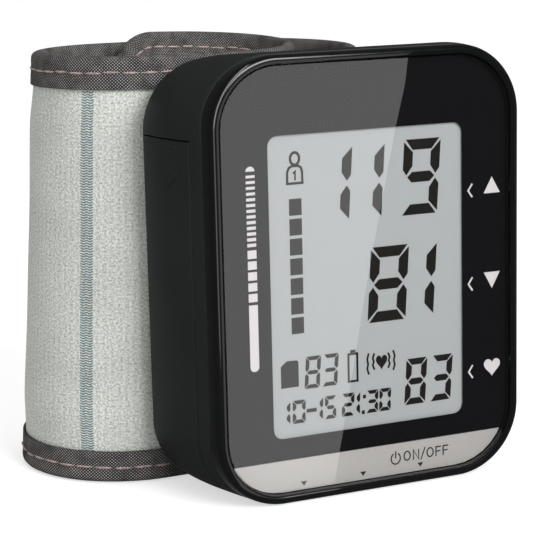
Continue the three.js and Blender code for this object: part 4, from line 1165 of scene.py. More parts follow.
def graded_scale(depth):
    """A rounded cap, dashes that grow thicker downwards, blocks, and a long bar."""
    skins = [leaf(arc(SCALE_MIDDLE, CAP_BASE, SCALE_RADIUS, SCALE_RADIUS, 0, 180, 12), depth)]
    for number in range(DASH_COUNT):
        top = DASH_TOP - DASH_PITCH * number
        thickness = THINNEST_DASH + DASH_GROWTH * number
        skins.append(leaf(rectangle(SCALE_LEFT, top - thickness, SCALE_RIGHT, top), depth))
    for number in range(BLOCK_COUNT):
        top = BLOCK_TOP - BLOCK_PITCH * number
        skins.append(leaf(rectangle(SCALE_LEFT, top - BLOCK_HEIGHT, SCALE_RIGHT, top), depth))
    nearly_whole = 359.9  # a whole turn would drop the last point
    round_end = arc(SCALE_MIDDLE, BAR_BOTTOM, SCALE_RADIUS, SCALE_RADIUS, 180, nearly_whole, 12)
    skins.append(leaf([(SCALE_LEFT, BAR_TOP)] + round_end + [(SCALE_RIGHT, BAR_TOP)], depth))
    return skins


def mask_prints():
    """The graded scale on the left, and three pointers with their signs on the right."""
    depth = face().print_depth
    skins = graded_scale(depth)
    for z in POINTER_HEIGHTS:
        top, bottom = (POINTER_TAIL, z + POINTER_RISE), (POINTER_TAIL, z - POINTER_RISE)
        skins.append(ribbon((top, (POINTER_TIP, z), bottom), POINTER_STROKE, depth))
    signs = (UP_SIGN, DOWN_SIGN, heart_outline(*HEART_SIGN))
    return skins + [leaf(sign, depth) for sign in signs]


KEY_POINTERS = (5.92, 18.5, 31.0)
KEY_POINTER_HALF, KEY_POINTER_TOP, KEY_POINTER_TIP = 0.65, -8.7, -9.55
LETTERS_LOW, LETTERS_HIGH = -7.95, -5.95
LETTERS_MIDDLE = (LETTERS_LOW + LETTERS_HIGH) / 2
PEN = 0.12  # half of a letter's stroke
BOLD_STROKE, SLIM_STROKE, SLASH_STROKE, POWER_STROKE = 0.25, 0.24, 0.22, 0.26
POWER_RING = (25.6, -7.15, 1.0, 1.1, 120, 420)  # its middle, radii, and angles
POWER_STEM = ((25.6, -5.7), (25.6, -7.1))
# The letters' places: the middles of both O, the sides of N, the slash's ends, the backs of both F
O_MIDDLES, O_HALF = (28.1, 33.2), 0.68
N_LEFT, N_RIGHT = 29.5, 30.65
SLASH_LEFT, SLASH_RIGHT, SLASH_OVERSHOOT = 31.1, 32.1, 0.2
F_BACKS, F_TOP_WIDTH, F_MIDDLE_WIDTH = (34.5, 36.1), 1.15, 1.0


def power_sign(depth):
    """An open ring with an upright stroke."""
    return [ribbon(line, POWER_STROKE, depth) for line in (arc(*POWER_RING), POWER_STEM)]


def on_and_off(depth):
    """The words for on and off, with a slanting stroke between them."""
    low, high, middle = LETTERS_LOW, LETTERS_HIGH, LETTERS_MIDDLE
    half = (high - low) / 2
    rings = [arc(x, middle, O_HALF, half - PEN) for x in O_MIDDLES]
    skins = [ribbon(ring, BOLD_STROKE, depth, True) for ring in rings]
    zigzag = ((N_LEFT, low), (N_LEFT, high), (N_RIGHT, low), (N_RIGHT, high))
    skins.append(ribbon(zigzag, SLIM_STROKE, depth))
    slash = ((SLASH_LEFT, low - SLASH_OVERSHOOT), (SLASH_RIGHT, high + SLASH_OVERSHOOT))
    skins.append(ribbon(slash, SLASH_STROKE, depth))
    for x in F_BACKS:
        back_and_top = ((x, low), (x, high - PEN), (x + F_TOP_WIDTH, high - PEN))
        skins.append(ribbon(back_and_top, BOLD_STROKE, depth))
        skins.append(ribbon(((x, middle), (x + F_MIDDLE_WIDTH, middle)), SLIM_STROKE, depth))
    return skins


def strip_prints():
    """A pointer over each key, the power sign, and the words for on and off."""
    depth = face().print_depth
    half, top = KEY_POINTER_HALF, KEY_POINTER_TOP
    pointers = [((x - half, top), (x, KEY_POINTER_TIP), (x + half, top)) for x in KEY_POINTERS]
    skins = [leaf(pointer, depth) for pointer in pointers]
    return skins + power_sign(depth) + on_and_off(depth)


# The rolled strip of the cuff

STRIP_PITCH = 1.0 * MM
STRIPE_LEAN = 0.021  # how far the woven stripe leans, for each length up
PRESSED_SHARE = 0.15  # how much of its puff the layer inside the roll keeps
PUFF_REACH = 20 * MM  # from the inner fold to where the strip is free to puff
FLAP_LOOSENESS = 1.6 * MM  # the flap's fold is wider than the left fold by this
HINGE_REACH = 6 * MM  # how far the bending cloth runs to each side of the hinge
CLOTH_ROWS = 60
BACK_ROWS = 6  # rows of the cloth's shown side for each row of its hidden side
HEM_LAP = 0.5 * MM  # how far the cloth's rise begins under the tape
RISE_REACH = 9 * MM  # from there to where the cloth stands out fully
END_STEPS = 12
TAPE_FOLD = 1.1 * MM
TAPE_LIP = 0.4 * MM
FOLD_STEPS = 8
PULL_WIDTH = 0.8 * MM  # the stitches pull the tape in over this width
PULL_DEPTH = 0.12 * MM
PULL_SWING = 0.08 * MM  # how much deeper at a stitch's end, and shallower along it
TAPE_RIPPLE = 0.07 * MM
THREAD_ARCH = 0.1 * MM
THREAD_SINK = 0.12 * MM
THREAD_SWELL = (0.35, 0.9, 1.0, 0.9, 0.35)
HOOK_PITCH = 0.5 * MM
HOOK_RELIEF = 0.12 * MM


class StripPath:
    """The strip's middle line seen from above, from its inner end to the flap's free end."""

    def __init__(self):
        size = cuff()
        inner_radius = (size.inner_y - size.front_y) / 2
        flap_radius = size.left_fold + FLAP_LOOSENESS
        self.moves = [
            (size.inner_fold_x - size.inner_end_x, 0),
            (math.pi * inner_radius, inner_radius),
            (size.inner_fold_x - size.left_fold_x, 0),
            (math.pi * size.left_fold, size.left_fold),
            (size.hinge_x - size.left_fold_x, 0),
            (size.right_fold_x - size.hinge_x, 0),
            (size.flap_turn * flap_radius, flap_radius),
        ]
        self.start = (size.inner_end_x, size.inner_y)
        self.hinge = sum(move[0] for move in self.moves[:5])
        self.length = sum(move[0] for move in self.moves)
        self.fold_end = self.moves[0][0] + self.moves[1][0]

    def at(self, along):
        """The place and the heading at a distance along the strip."""
        x, y = self.start
        heading = 0.0
        left = along
        for number, (distance, radius) in enumerate(self.moves):
            last = number == len(self.moves) - 1
            step = left if last or left < distance else distance
            if radius and step > 0:
                inside = min(step, distance)
                turn = inside / radius
                centre = (x + radius * math.sin(heading), y - radius * math.cos(heading))
                heading -= turn
                x = centre[0] - radius * math.sin(heading)
                y = centre[1] + radius * math.cos(heading)
                x += (step - inside) * math.cos(heading)
                y += (step - inside) * math.sin(heading)
            else:
                x += step * math.cos(heading)
                y += step * math.sin(heading)
            left -= step
            if abs(left) < 1e-12:
                break
        return x, y, heading


def strip_edges(path, along):
    """The lower and the upper edge of the strip at a distance along it."""
    size = cuff()
    rise = size.end_rise * (1 - smooth_share(along / path.fold_end))
    fall = size.flap_fall * smooth_share((along - path.hinge) / (path.length - path.hinge))
    return rise, size.height + rise - fall


def flap_share(path, along):
    """Nought on the fixed band, one on the flap, and between them at the hinge."""
    return smooth_share((along - path.hinge + HINGE_REACH) / (2 * HINGE_REACH))


def inner_face(path, along, inset):
    """How far the inner face lies from the middle line. It nears the outer face at the edges."""
    size = cuff()
    outer = size.thickness / 2
    full = size.thickness + (size.flap_thickness - size.thickness) * flap_share(path, along)
    edge_share = 1 - smooth_share(inset / size.edge_slope)
    return outer - full + (full - size.edge_thickness) * edge_share


def puff_share(path, along):
    """The layer inside the roll is pressed flat against the layer round it."""
    free_share = smooth_share((along - path.fold_end) / PUFF_REACH)
    return PRESSED_SHARE + (1 - PRESSED_SHARE) * free_share


def on_strip(path, along, out, z):
    """A point of the rolled strip, out from its middle line."""
    size = cuff()
    x, y, heading = path.at(along)
    x -= math.sin(heading) * out
    y += math.cos(heading) * out
    x = size.cone_pivot + (x - size.cone_pivot) * (1 - size.cone_share * z / size.height)
    return placed(x, y, z)


# The ripple's three waves run along the strip, up it, and slanting. Each length is one radian's.
RIPPLE_ALONG, RIPPLE_ALONG_BEND = 7.3 * MM, 19 * MM
RIPPLE_UP, RIPPLE_UP_LEAN = 11 * MM, 23 * MM
RIPPLE_SLANTING = 4.1 * MM
RIPPLE_BEND, RIPPLE_UP_START, RIPPLE_SLANTING_START = 1.3, 2.1, 0.7
RIPPLE_SHARES = (0.45, 0.35, 0.2)


def ripple(along, z):
    """A slow unevenness of hand-sewn cloth, between minus one and one."""
    waves = (
        math.sin(along / RIPPLE_ALONG + RIPPLE_BEND * math.sin(z / RIPPLE_ALONG_BEND)),
        math.sin(z / RIPPLE_UP + RIPPLE_UP_START + along / RIPPLE_UP_LEAN),
        math.sin((along + z) / RIPPLE_SLANTING + RIPPLE_SLANTING_START),
    )
    return sum(share * wave for share, wave in zip(RIPPLE_SHARES, waves))


def stations(start, end, pitch=STRIP_PITCH):
    """Evenly spaced places from one distance to another, about a pitch apart."""
    count = max(1, round((end - start) / pitch))
    return [start + (end - start) * i / count for i in range(count + 1)]


def cloth_layer(name, path, start, end, side):
    """A puffed cloth on the strip's outer side, with side 1, or inner side, with side -1."""
    size = cuff()
    rings, uvs = [], []
    for along in stations(start, end):
        bottom, top = strip_edges(path, along)
        corner = size.end_corner - size.tape_thickness
        distance = min(along, path.length - along)
        into = max(0, corner - distance)
        drop = corner - math.sqrt(max(0, corner * corner - into * into))
        low = bottom + size.tape_thickness + size.tape_stand + drop
        high = top - size.tape_thickness - size.tape_stand - drop
        hem = size.tape_width - HEM_LAP
        puff = size.puff * puff_share(path, along) * smooth_share((distance - hem) / RISE_REACH)
        shown = [low + (high - low) * row / CLOTH_ROWS for row in range(CLOTH_ROWS + 1)]
        ring = []
        for number, z in enumerate(shown + shown[::-BACK_ROWS]):
            inset = min(z - bottom, top - z, distance)
            out = size.thickness / 2 if side > 0 else inner_face(path, along, inset)
            if number < len(shown):
                rise = smooth_share((min(z - bottom, top - z) - hem) / RISE_REACH)
                out += side * puff * rise * (1 + 0.5 * ripple(along, z))
            else:
                out -= side * size.cloth
            ring.append(on_strip(path, along, out, z))
            uvs.append((along - STRIPE_LEAN * z, z))
        rings.append(ring)
    piece = make_object(name, *skin(rings), sharp=SOFT_ANGLE)
    add_uvs(piece, uvs)
    return piece


def edge_line(path, places, upper):
    """Points along the strip's lower or upper edge: along, height and the direction inwards."""
    return [(along, strip_edges(path, along)[upper], (0, -1 if upper else 1)) for along in places]


def end_corner(along, z, towards, up):
    """Points round a corner of a free end, from the edge to the end, about its middle."""
    radius = cuff().end_corner
    points = []
    for step in range(END_STEPS + 1):
        angle = QUARTER * step / END_STEPS
        across, rise = towards * math.sin(angle), up * math.cos(angle)
        points.append((along - radius * across, z + radius * rise, (across, -rise)))
    return points


def edge_points(path, start, end, tip):
    """Points round a free end and along both edges. tip is the end's place along the strip."""
    radius = cuff().end_corner
    towards = 1 if tip <= start else -1
    middle = tip + towards * radius
    bottom, top = strip_edges(path, middle)
    kept = [along for along in stations(start, end) if abs(along - tip) > radius]
    kept.sort(key=lambda along: -abs(along - tip))
    end_heights = stations(bottom + radius, top - radius)[1:-1]
    return (
        edge_line(path, kept, False)
        + end_corner(middle, bottom + radius, towards, -1)
        + [(tip, z, (towards, 0)) for z in end_heights]
        + end_corner(middle, top - radius, towards, 1)[::-1]
        + edge_line(path, reversed(kept), True)
    )


def measured(points):
    """The length run along the edge at each of its points."""
    run = [0.0]
    for (a, z, _), (b, w, _) in zip(points, points[1:]):
        run.append(run[-1] + math.hypot(b - a, w - z))
    return run


def tape_inner(path, along, inset):
    """How far the tape's inner side lies from the strip's middle line."""
    size = cuff()
    return inner_face(path, along, inset) - size.tape_stand - size.tape_thickness


def tape_section(path, along):
    """The folded tape's section, as pairs of distance in from the edge and distance outwards."""
    size = cuff()
    out = size.thickness / 2 + size.tape_stand + size.tape_thickness
    start = tape_inner(path, along, 0)
    middle = (out + start) / 2
    half = (out - start) / 2
    width, thick = size.tape_width, size.tape_thickness
    flats = [width, width - TAPE_LIP, 5.2 * MM, 4.5 * MM, 3.8 * MM]
    flats += [size.stitch_inset, 2.5 * MM, 1.8 * MM]
    shown = [(inset, out) for inset in flats]
    for step in range(FOLD_STEPS + 1):
        angle = QUARTER * (1 - 2 * step / FOLD_STEPS)
        shown.append((TAPE_FOLD * (1 - math.cos(angle)), middle + half * math.sin(angle)))
    shown += [(inset, tape_inner(path, along, inset)) for inset in reversed(flats)]
    turn = TAPE_FOLD + thick
    hidden = [(inset, tape_inner(path, along, inset) + thick) for inset in (width, 4.5 * MM, turn)]
    hidden += [(thick, middle), (turn, out - thick), (width, out - thick)]
    return shown, hidden, middle


def edge_binding(name, path, edges):
    """Tape folded over one or more runs of the strip's edge, pulled in at its stitches."""
    size = cuff()
    skins, uvs = [], []
    for points in edges:
        rings = []
        for (along, z, inward), run in zip(points, measured(points)):
            shown, hidden, middle = tape_section(path, along)
            depth = PULL_DEPTH + PULL_SWING * math.cos(4 * QUARTER * run / size.stitch_pitch)
            ring = []
            travel = 0.0
            for number, (inset, level) in enumerate(shown + hidden):
                out = level
                if number < len(shown):
                    side = 1 if level > middle else -1
                    pull = math.exp(-(((inset - size.stitch_inset) / PULL_WIDTH) ** 2))
                    out += side * (TAPE_RIPPLE * ripple(2 * run, inset) - pull * depth)
                if number:
                    travel += math.hypot(inset - before[0], out - before[1])
                before = (inset, level)
                ring.append(on_strip(path, along + inward[0] * inset, out, z + inward[1] * inset))
                uvs.append((run, travel))
            rings.append(ring)
        skins.append(skin(rings))
    piece = make_object(name, *joined(*skins), sharp=SOFT_ANGLE)
    add_uvs(piece, uvs)
    return piece


def thread_run(path, points, run, middle, reach, out_at, inset):
    """The middle line of one stitch on the tape, about a middle on the run along the edge."""
    centre = []
    for step in range(-2, 3):
        target = middle + reach * step / 4
        index = max(i for i, value in enumerate(run) if value <= max(target, 0))
        index = min(index, len(points) - 2)
        share = (target - run[index]) / (run[index + 1] - run[index])
        (a, z, n), (b, w, m) = points[index], points[index + 1]
        along = a + (b - a) * share
        height = z + (w - z) * share
        inward = (n[0] + (m[0] - n[0]) * share, n[1] + (m[1] - n[1]) * share)
        out = out_at(along, THREAD_ARCH * (1 - (step / 2) ** 2) - THREAD_SINK)
        centre.append(on_strip(path, along + inward[0] * inset, out, height + inward[1] * inset))
    return centre


def thread_skin(centre, radius, sides=6):
    """A short thread with rounded ends along a line of points."""
    rings = []
    for index, point in enumerate(centre):
        before = centre[max(index - 1, 0)]
        after = centre[min(index + 1, len(centre) - 1)]
        forward = (after - before).normalized()
        across = forward.cross(Vector((0.31, 0.17, 0.93))).normalized()
        up = forward.cross(across)
        thick = radius * THREAD_SWELL[index]
        angles = [4 * QUARTER * side / sides for side in range(sides)]
        rings.append([point + thick * (across * math.cos(a) + up * math.sin(a)) for a in angles])
    return skin(rings)


def stitch_rows(name, path, edges):
    """A row of stitches on each side of the tape."""
    size = cuff()
    outer = size.thickness / 2 + size.tape_stand + size.tape_thickness

    def outside(_along, stand):
        return outer + stand

    def inside(along, stand):
        return tape_inner(path, along, size.stitch_inset) - stand

    skins = []
    for points in edges:
        run = measured(points)
        count = int((run[-1] - size.stitch_length) / size.stitch_pitch)
        for number in range(count + 1):
            middle = size.stitch_length / 2 + number * size.stitch_pitch
            uneven = ripple(3 * middle, 5 * middle)
            reach = size.stitch_length * (1 + 0.08 * uneven)
            inset = size.stitch_inset + 0.15 * MM * uneven
            for out_at in (outside, inside):
                centre = thread_run(path, points, run, middle, reach, out_at, inset)
                skins.append(thread_skin(centre, size.thread))
    return make_object(name, *joined(*skins), sharp=SOFT_ANGLE)


def buried_sheet(name, path, start, end, margin, high, low):
    """A plain sheet inside the padded strip, between two distances out from its middle."""
    rings = []
    for along in stations(start, end):
        bottom, top = strip_edges(path, along)
        bottom, top = bottom + margin, top - margin
        section = ((high, bottom), (high, top), (low, top), (low, bottom))
        rings.append([on_strip(path, along, out, z) for out, z in section])
    return make_object(name, *skin(rings), sharp=SOFT_ANGLE)


def hook_patch(path):
    """The strip of nylon hooks inside the flap, with its fine rows of hooks."""
    size = cuff()
    start = path.hinge + size.hook_start
    inside = size.thickness / 2 - size.flap_thickness
    heights = stations(size.hook_bottom, size.hook_top, 3 * MM)
    rings, uvs = [], []
    for number, along in enumerate(stations(start, start + size.hook_length, HOOK_PITCH)):
        hooks_out = inside - size.hook_depth + HOOK_RELIEF * (number % 2)
        ring = [on_strip(path, along, hooks_out, z) for z in heights]
        ring += [on_strip(path, along, inside - size.tape_stand, z) for z in reversed(heights)]
        rings.append(ring)
        uvs += [(along, z) for z in heights + heights[::-1]]
    piece = make_object("flap_hooks", *skin(rings), sharp=SOFT_ANGLE)
    add_uvs(piece, uvs)
    return piece


REPLACED_BY = {
    "cuff_cloth": ["cuff_outer_cloth"],
    "cuff_lining_cloth": ["cuff_lining"],
    "cuff_binding": ["cuff_top_tape", "cuff_bottom_tape", "cuff_end_tape"],
    "flap_cloth_cover": ["flap_cloth"],
    "flap_binding": ["flap_top_tape", "flap_bottom_tape", "flap_end_tape"],
}


def add_stretch(path, part, start, end, edges, body):
    """Adds the cloths, tape and stitches of a stretch of the strip. Without a body they are left
    unattached, where they are built.
    """
    cloth_name = part + ("_cloth_cover" if part == "flap" else "_cloth")
    pieces = (
        (cloth_layer(cloth_name, path, start, end, 1), "light_loop_cloth"),
        (cloth_layer(part + "_lining_cloth", path, start, end, -1), "dark_cloth"),
        (edge_binding(part + "_binding", path, edges), "woven_tape"),
        (stitch_rows(part + "_stitches", path, edges), "thread"),
    )
    for piece, finish in pieces:
        piece.data.materials.append(material_named(finish))
        if body:
            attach(piece, body)
        else:
            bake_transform(piece)
        if piece.name in REPLACED_BY:
            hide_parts(*REPLACED_BY[piece.name])


# The stage

FLOOR_REACH = 6.0
FLOOR_PLACE = -0.2 * MM
FLOOR_GLOW = 0.6
ROOM_LIGHT = 0.55
ROOM_SEEN = 1.0
ROOM_MIRRORED = 0.12
BLACK_GLOW = 0.06
GLARE = 1.3
GLINT = 6.5
DIM_GLINT = 2.5
# The cards' places are in millimetres: across, and up or back.
BLACK_EDGE = ((-5.3, 0), (2.9, 41.5), (9.0, 68.4), (11.1, 76.5), (12.2, 84), (12.2, 110))
BLACK_FAR_SIDE = ((100, 110), (100, 0))
BLACK_FRONT, BLACK_BACK = -6.3, -6
GLARE_NEAR_LEFT = (-27.5, -6.5)
GLARE_FAR_LEFT = (180.6, -500)
GLARE_RIGHT = 600
GLARE_LOW, GLARE_HIGH = 0.3, 38.6
GLINT_LEFT, GLINT_RIGHT, GLINT_PLACE = -88, -42, -120
GLINT_LOW, GLINT_SPLIT, GLINT_HIGH = 0.5, 66, 500
LAMP_PLACE = (0.2, -0.9, 0.5)
LAMP_SIZE = 0.5
LAMP_WATTS = 8.5
LAMP_AIM = (0, 0, 0.04)
CAMERA_PLACE = (-158.2, -302.3, 108.6)
CAMERA_RIGHT = (0.90851, -0.41720, -0.02364)
CAMERA_UP = (0.09961, 0.16127, 0.98187)
CAMERA_LENS = 123.6


def hang_card(piece, finish):
    """Puts a card in the studio where reflections see it and nothing else does."""
    piece.data.materials.append(material_named(finish))
    piece.visible_camera = False
    piece.visible_diffuse = False
    piece.visible_transmission = False
    piece.visible_shadow = False


def add_cards():
    """The cards that the gloss mirrors: a glare in front, black right of it, a glint at the left."""
    outline = [(x * MM, z * MM) for x, z in BLACK_EDGE + BLACK_FAR_SIDE]
    black = plate("black_card", outline, BLACK_FRONT * MM, BLACK_BACK * MM)
    hang_card(black, "black_card")
    sweep = [(*GLARE_NEAR_LEFT, GLARE_LOW), (*GLARE_FAR_LEFT, GLARE_LOW)]
    sweep.append((*GLARE_FAR_LEFT, GLARE_HIGH))
    sweep += [(GLARE_RIGHT, y, z) for _, y, z in reversed(sweep)]
    points = [placed(x * MM, y * MM, z * MM) for x, y, z in sweep]
    hang_card(make_object("glare_card", points, [(0, 1, 4, 5), (1, 2, 3, 4)]), "glare_card")
    for name, bottom, top in (
        ("dim_glint_card", GLINT_LOW, GLINT_SPLIT),
        ("glint_card", GLINT_SPLIT, GLINT_HIGH),
    ):
        panel = rectangle(GLINT_LEFT, bottom, GLINT_RIGHT, top)
        points = [placed(x * MM, GLINT_PLACE * MM, z * MM) for x, z in panel]
        hang_card(make_object(name, points, [(0, 1, 2, 3)]), name)


def add_world(scene):
    """A white room. Surfaces are lit by less of it, and mirrors see it dim."""
    world = bpy.data.worlds.new("Studio")
    scene.world = world
    world.use_nodes = True
    world.node_tree.nodes.clear()
    ray = add_node(world, "ShaderNodeLightPath").node
    lit = ray.outputs["Is Diffuse Ray"]
    mirrored = ray.outputs["Is Glossy Ray"]
    light = add_node(world, "ShaderNodeMapRange", Value=lit, _3=ROOM_SEEN, _4=ROOM_LIGHT)
    strength = add_node(world, "ShaderNodeMix", 0, _0=mirrored, _2=light, _3=ROOM_MIRRORED)
    white = add_node(world, "ShaderNodeBackground", Color=(1, 1, 1, 1), Strength=strength)
    add_node(world, "ShaderNodeOutputWorld", Surface=white)


def add_lamp(scene):
    """A square soft lamp that looks at the middle of the monitor."""
    lamp = bpy.data.lights.new("Key", "AREA")
    lamp.energy = LAMP_WATTS
    lamp.size = LAMP_SIZE
    holder = bpy.data.objects.new("Key", lamp)
    scene.collection.objects.link(holder)
    holder.location = LAMP_PLACE
    aim = Vector(LAMP_AIM) - holder.location
    holder.rotation_euler = aim.to_track_quat("-Z", "Y").to_euler()


def add_camera(scene):
    """The view of the product photograph, from the left and a little above."""
    data = bpy.data.cameras.new("Camera")
    data.lens = CAMERA_LENS
    data.sensor_width = 36
    data.clip_start = 0.01
    camera = bpy.data.objects.new("Camera", data)
    scene.collection.objects.link(camera)
    right, up = Vector(CAMERA_RIGHT), Vector(CAMERA_UP)
    turn = Matrix((right, up, right.cross(up))).transposed()
    place = placed(*(value * MM for value in CAMERA_PLACE))
    camera.matrix_world = Matrix.Translation(place) @ turn.to_4x4()
    scene.camera = camera


# Operators: one for each piece or group of like pieces


class MonitorOperator(bpy.types.Operator):
    """Shared settings of the operators."""

    bl_options = {"REGISTER", "UNDO"}


class MONITOR_OT_cover(MonitorOperator):
    """Adds the glossy front cover with its rim, lens pocket and skirt"""

    bl_idname = "monitor.cover"
    bl_label = "Front Cover"

    def execute(self, context):
        piece = make_object("front_cover_shell", *skin(cover_rings(), closed=True), sharp=40)
        finish_piece(piece, "monitor", "gloss_black_plastic", "front_cover")
        return {"FINISHED"}


class MONITOR_OT_housing(MonitorOperator):
    """Adds the rear housing with its door opening, key holes and screw recesses"""

    bl_idname = "monitor.housing"
    bl_label = "Rear Housing"

    def execute(self, context):
        size = case()
        tools = [door_block(0)]
        heights = ((-size.wall, 0), (2 * size.wall, 0))
        for name in KEY_NAMES:
            rings = key_rings(key_middle(name), KEY_GAP, heights)
            tools.append(make_object("Key hole", *skin(rings)))
        for number in range(1, 5):
            low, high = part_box(f"housing_screw_{number}")
            x = (low.x + high.x) / 2 - FACE_MIDDLE
            z = (low.z + high.z) / 2
            radius = (high.x - low.x) / 2 + KEY_GAP
            tools.append(turned(x, z, radius, size.depth - 2 * size.wall, size.depth + size.wall))
        piece = combine(housing_wall(), "DIFFERENCE", *tools)
        piece.name = "rear_housing_shell"
        edge_break(piece, size.edge_break)
        finish_piece(piece, "monitor", "matte_charcoal_plastic", "rear_housing")
        return {"FINISHED"}


class MONITOR_OT_door(MonitorOperator):
    """Adds the battery door with its raised dots"""

    bl_idname = "monitor.door"
    bl_label = "Battery Door"

    def execute(self, context):
        panel = door()
        piece = combine(housing_wall(), "INTERSECT", door_block(panel.gap))
        piece.name = "battery_door_panel"
        edge_break(piece, case().edge_break)
        finish_piece(piece, "battery_door", "matte_charcoal_plastic", "battery_door")
        heights = [panel.mark_z - number * panel.dot_pitch for number in range(panel.dots)]
        skins = [raised_dot(panel.mark_y, z) for z in heights] + [raised_line(panel)]
        marks = make_object("battery_door_marks", *joined(*skins), sharp=SOFT_ANGLE)
        finish_piece(marks, "battery_door", "matte_charcoal_plastic")
        return {"FINISHED"}


class MONITOR_OT_lens(MonitorOperator):
    """Adds the clear lens with its polished edge"""

    bl_idname = "monitor.lens"
    bl_label = "Lens"

    def execute(self, context):
        size, front = case(), face()
        edge = size.rim_width + front.lens_gap
        sections = (
            (front.lens_sink, edge + front.lens_chamfer),
            (front.lens_sink + front.lens_chamfer, edge),
            (front.lens_sink + front.lens_thickness, edge),
        )
        rings = [case_ring(depth, inset, 0) for depth, inset in sections]
        piece = make_object("display_lens_plate", *skin(rings))
        finish_piece(piece, "monitor", "clear_lens", "display_lens")
        return {"FINISHED"}


class MONITOR_OT_figures(MonitorOperator):
    """Adds the display's dark figures and signs"""

    bl_idname = "monitor.figures"
    bl_label = "Display Figures"

    def execute(self, context):
        for name, skins in (
            ("display_figures", display_figures()),
            ("display_icons", display_icons()),
        ):
            piece = make_object(name, *joined(*skins))
            finish_piece(piece, "monitor", "black_print", finish="segment")
        return {"FINISHED"}


class MONITOR_OT_prints(MonitorOperator):
    """Adds the light prints on the mask and the dark prints on the label strip"""

    bl_idname = "monitor.prints"
    bl_label = "Prints"

    def execute(self, context):
        light = make_object("mask_prints", *joined(*mask_prints()))
        finish_piece(light, "monitor", "silver_foil", finish="white_ink")
        dark = make_object("strip_prints", *joined(*strip_prints()))
        finish_piece(dark, "monitor", "black_print", finish="dark_ink")
        return {"FINISHED"}


class MONITOR_OT_keys(MonitorOperator):
    """Adds the three round-ended keys in the underside"""

    bl_idname = "monitor.keys"
    bl_label = "Keys"

    def execute(self, context):
        heights = [
            (KEY_SINK + KEY_ROUND - reach, inset)
            for reach, inset in reversed(quarter_round(KEY_ROUND, 6))
        ]
        heights.append((KEY_TOP, 0))
        for name in KEY_NAMES:
            rings = key_rings(key_middle(name), 0, heights)
            piece = make_object(name + "_cap", *skin(rings))
            finish_piece(piece, name, "matte_charcoal_plastic", name)
        return {"FINISHED"}


class MONITOR_OT_cuff(MonitorOperator):
    """Adds the fixed band of the cuff: its cloths, edge tape and stitches"""

    bl_idname = "monitor.cuff"
    bl_label = "Cuff Band"

    def execute(self, context):
        size, path = cuff(), StripPath()
        end = path.hinge - HINGE_REACH
        edge = edge_points(path, 0, end, -size.tape_stand - size.tape_thickness)
        add_stretch(path, "cuff", 0, end, [edge], "monitor")
        return {"FINISHED"}


class MONITOR_OT_hinge(MonitorOperator):
    """Adds the cloths, tape and stitches of the stretch where the flap opens"""

    bl_idname = "monitor.hinge"
    bl_label = "Cuff Hinge"

    def execute(self, context):
        path = StripPath()
        start, end = path.hinge - HINGE_REACH, path.hinge + HINGE_REACH
        edges = [edge_line(path, stations(start, end), upper) for upper in (False, True)]
        add_stretch(path, "hinge", start, end, edges, None)
        return {"FINISHED"}


class MONITOR_OT_flap(MonitorOperator):
    """Adds the closing flap: its cloths, edge tape and stitches"""

    bl_idname = "monitor.flap"
    bl_label = "Cuff Flap"

    def execute(self, context):
        size, path = cuff(), StripPath()
        start = path.hinge + HINGE_REACH
        tip = path.length + size.tape_stand + size.tape_thickness
        edge = edge_points(path, start, path.length, tip)
        add_stretch(path, "flap", start, path.length, [edge], "cuff_flap")
        return {"FINISHED"}


class MONITOR_OT_inserts(MonitorOperator):
    """Adds what lies inside the cuff: the curler that keeps it round, and the bladder"""

    bl_idname = "monitor.inserts"
    bl_label = "Cuff Inserts"

    def execute(self, context):
        size, path = cuff(), StripPath()
        high = size.thickness / 2 - size.cloth - size.tape_stand
        low = high - size.curler
        margin = size.curler_inset
        end = path.hinge - margin
        curler = buried_sheet("curler_sheet", path, size.end_corner, end, margin, high, low)
        finish_piece(curler, "monitor", "white_plastic", "cuff_curler")
        margin = size.bladder_inset
        high = low - size.tape_stand
        low = size.cloth + size.tape_stand - size.thickness / 2
        end = path.hinge - margin
        bladder = buried_sheet("bladder_bag", path, margin, end, margin, high, low)
        finish_piece(bladder, "monitor", "bladder_film", "cuff_bladder")
        return {"FINISHED"}


class MONITOR_OT_hooks(MonitorOperator):
    """Adds the strip of hooks inside the flap"""

    bl_idname = "monitor.hooks"
    bl_label = "Flap Hooks"

    def execute(self, context):
        finish_piece(hook_patch(StripPath()), "cuff_flap", "hook_nylon", "flap_hook_patch")
        return {"FINISHED"}


class MONITOR_OT_finishes(MonitorOperator):
    """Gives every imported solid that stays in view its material"""

    bl_idname = "monitor.finishes"
    bl_label = "Finishes"

    def execute(self, context):
        for entry in frame["record"]["subparts"]:
            node = frame["nodes"][entry["node"]]
            node.data.materials.clear()
            node.data.materials.append(material_named(entry["material_slot"]))
        return {"FINISHED"}


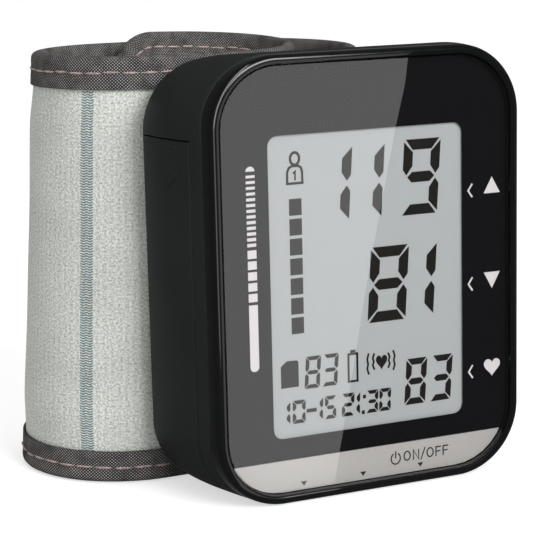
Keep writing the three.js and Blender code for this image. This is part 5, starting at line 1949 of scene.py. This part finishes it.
class MONITOR_OT_stage(MonitorOperator):
    """Adds the floor, the cards, the lamp, the world and the camera"""

    bl_idname = "monitor.stage"
    bl_label = "Stage"

    def execute(self, context):
        corners = rectangle(-FLOOR_REACH, -FLOOR_REACH, FLOOR_REACH, FLOOR_REACH)
        points = [(x, y, FLOOR_PLACE) for x, y in corners]
        floor = make_object("studio_floor", points, [(0, 1, 2, 3)])
        floor.data.materials.append(material_named("floor"))
        add_cards()
        add_world(context.scene)
        add_lamp(context.scene)
        add_camera(context.scene)
        context.scene.view_settings.view_transform = "Standard"
        return {"FINISHED"}


class MONITOR_PT_sidebar(bpy.types.Panel):
    """The monitor's pieces and sizes in the 3D view's sidebar"""

    bl_label = "Wrist Monitor"
    bl_idname = "MONITOR_PT_sidebar"
    bl_space_type = "VIEW_3D"
    bl_region_type = "UI"
    bl_category = "Monitor"

    def draw(self, context):
        layout = self.layout
        for operator in OPERATORS:
            layout.operator(operator.bl_idname)
        for name in GROUPS:
            box = layout.box()
            group = getattr(context.scene, name)
            for prop in group.bl_rna.properties:
                if not prop.is_readonly and prop.identifier != "name":
                    box.prop(group, prop.identifier)


GROUPS = {
    "monitor_case": MonitorCaseSizes,
    "monitor_door": MonitorDoorSizes,
    "monitor_face": MonitorFaceSizes,
    "monitor_cuff": MonitorCuffSizes,
    "monitor_colours": MonitorColours,
}

OPERATORS = (
    MONITOR_OT_stage,
    MONITOR_OT_finishes,
    MONITOR_OT_cover,
    MONITOR_OT_housing,
    MONITOR_OT_door,
    MONITOR_OT_lens,
    MONITOR_OT_figures,
    MONITOR_OT_prints,
    MONITOR_OT_keys,
    MONITOR_OT_cuff,
    MONITOR_OT_hinge,
    MONITOR_OT_flap,
    MONITOR_OT_inserts,
    MONITOR_OT_hooks,
)


def register():
    for group in GROUPS.values():
        bpy.utils.register_class(group)
    for operator in OPERATORS:
        bpy.utils.register_class(operator)
    bpy.utils.register_class(MONITOR_PT_sidebar)
    for name, group in GROUPS.items():
        setattr(bpy.types.Scene, name, bpy.props.PointerProperty(type=group))


def unregister():
    for name in GROUPS:
        delattr(bpy.types.Scene, name)
    bpy.utils.unregister_class(MONITOR_PT_sidebar)
    for operator in reversed(OPERATORS):
        bpy.utils.unregister_class(operator)
    for group in reversed(GROUPS.values()):
        bpy.utils.unregister_class(group)


def main():
    register()
    for operator in OPERATORS:
        group, name = operator.bl_idname.split(".")
        getattr(getattr(bpy.ops, group), name)()


if __name__ == "__main__":
    main()
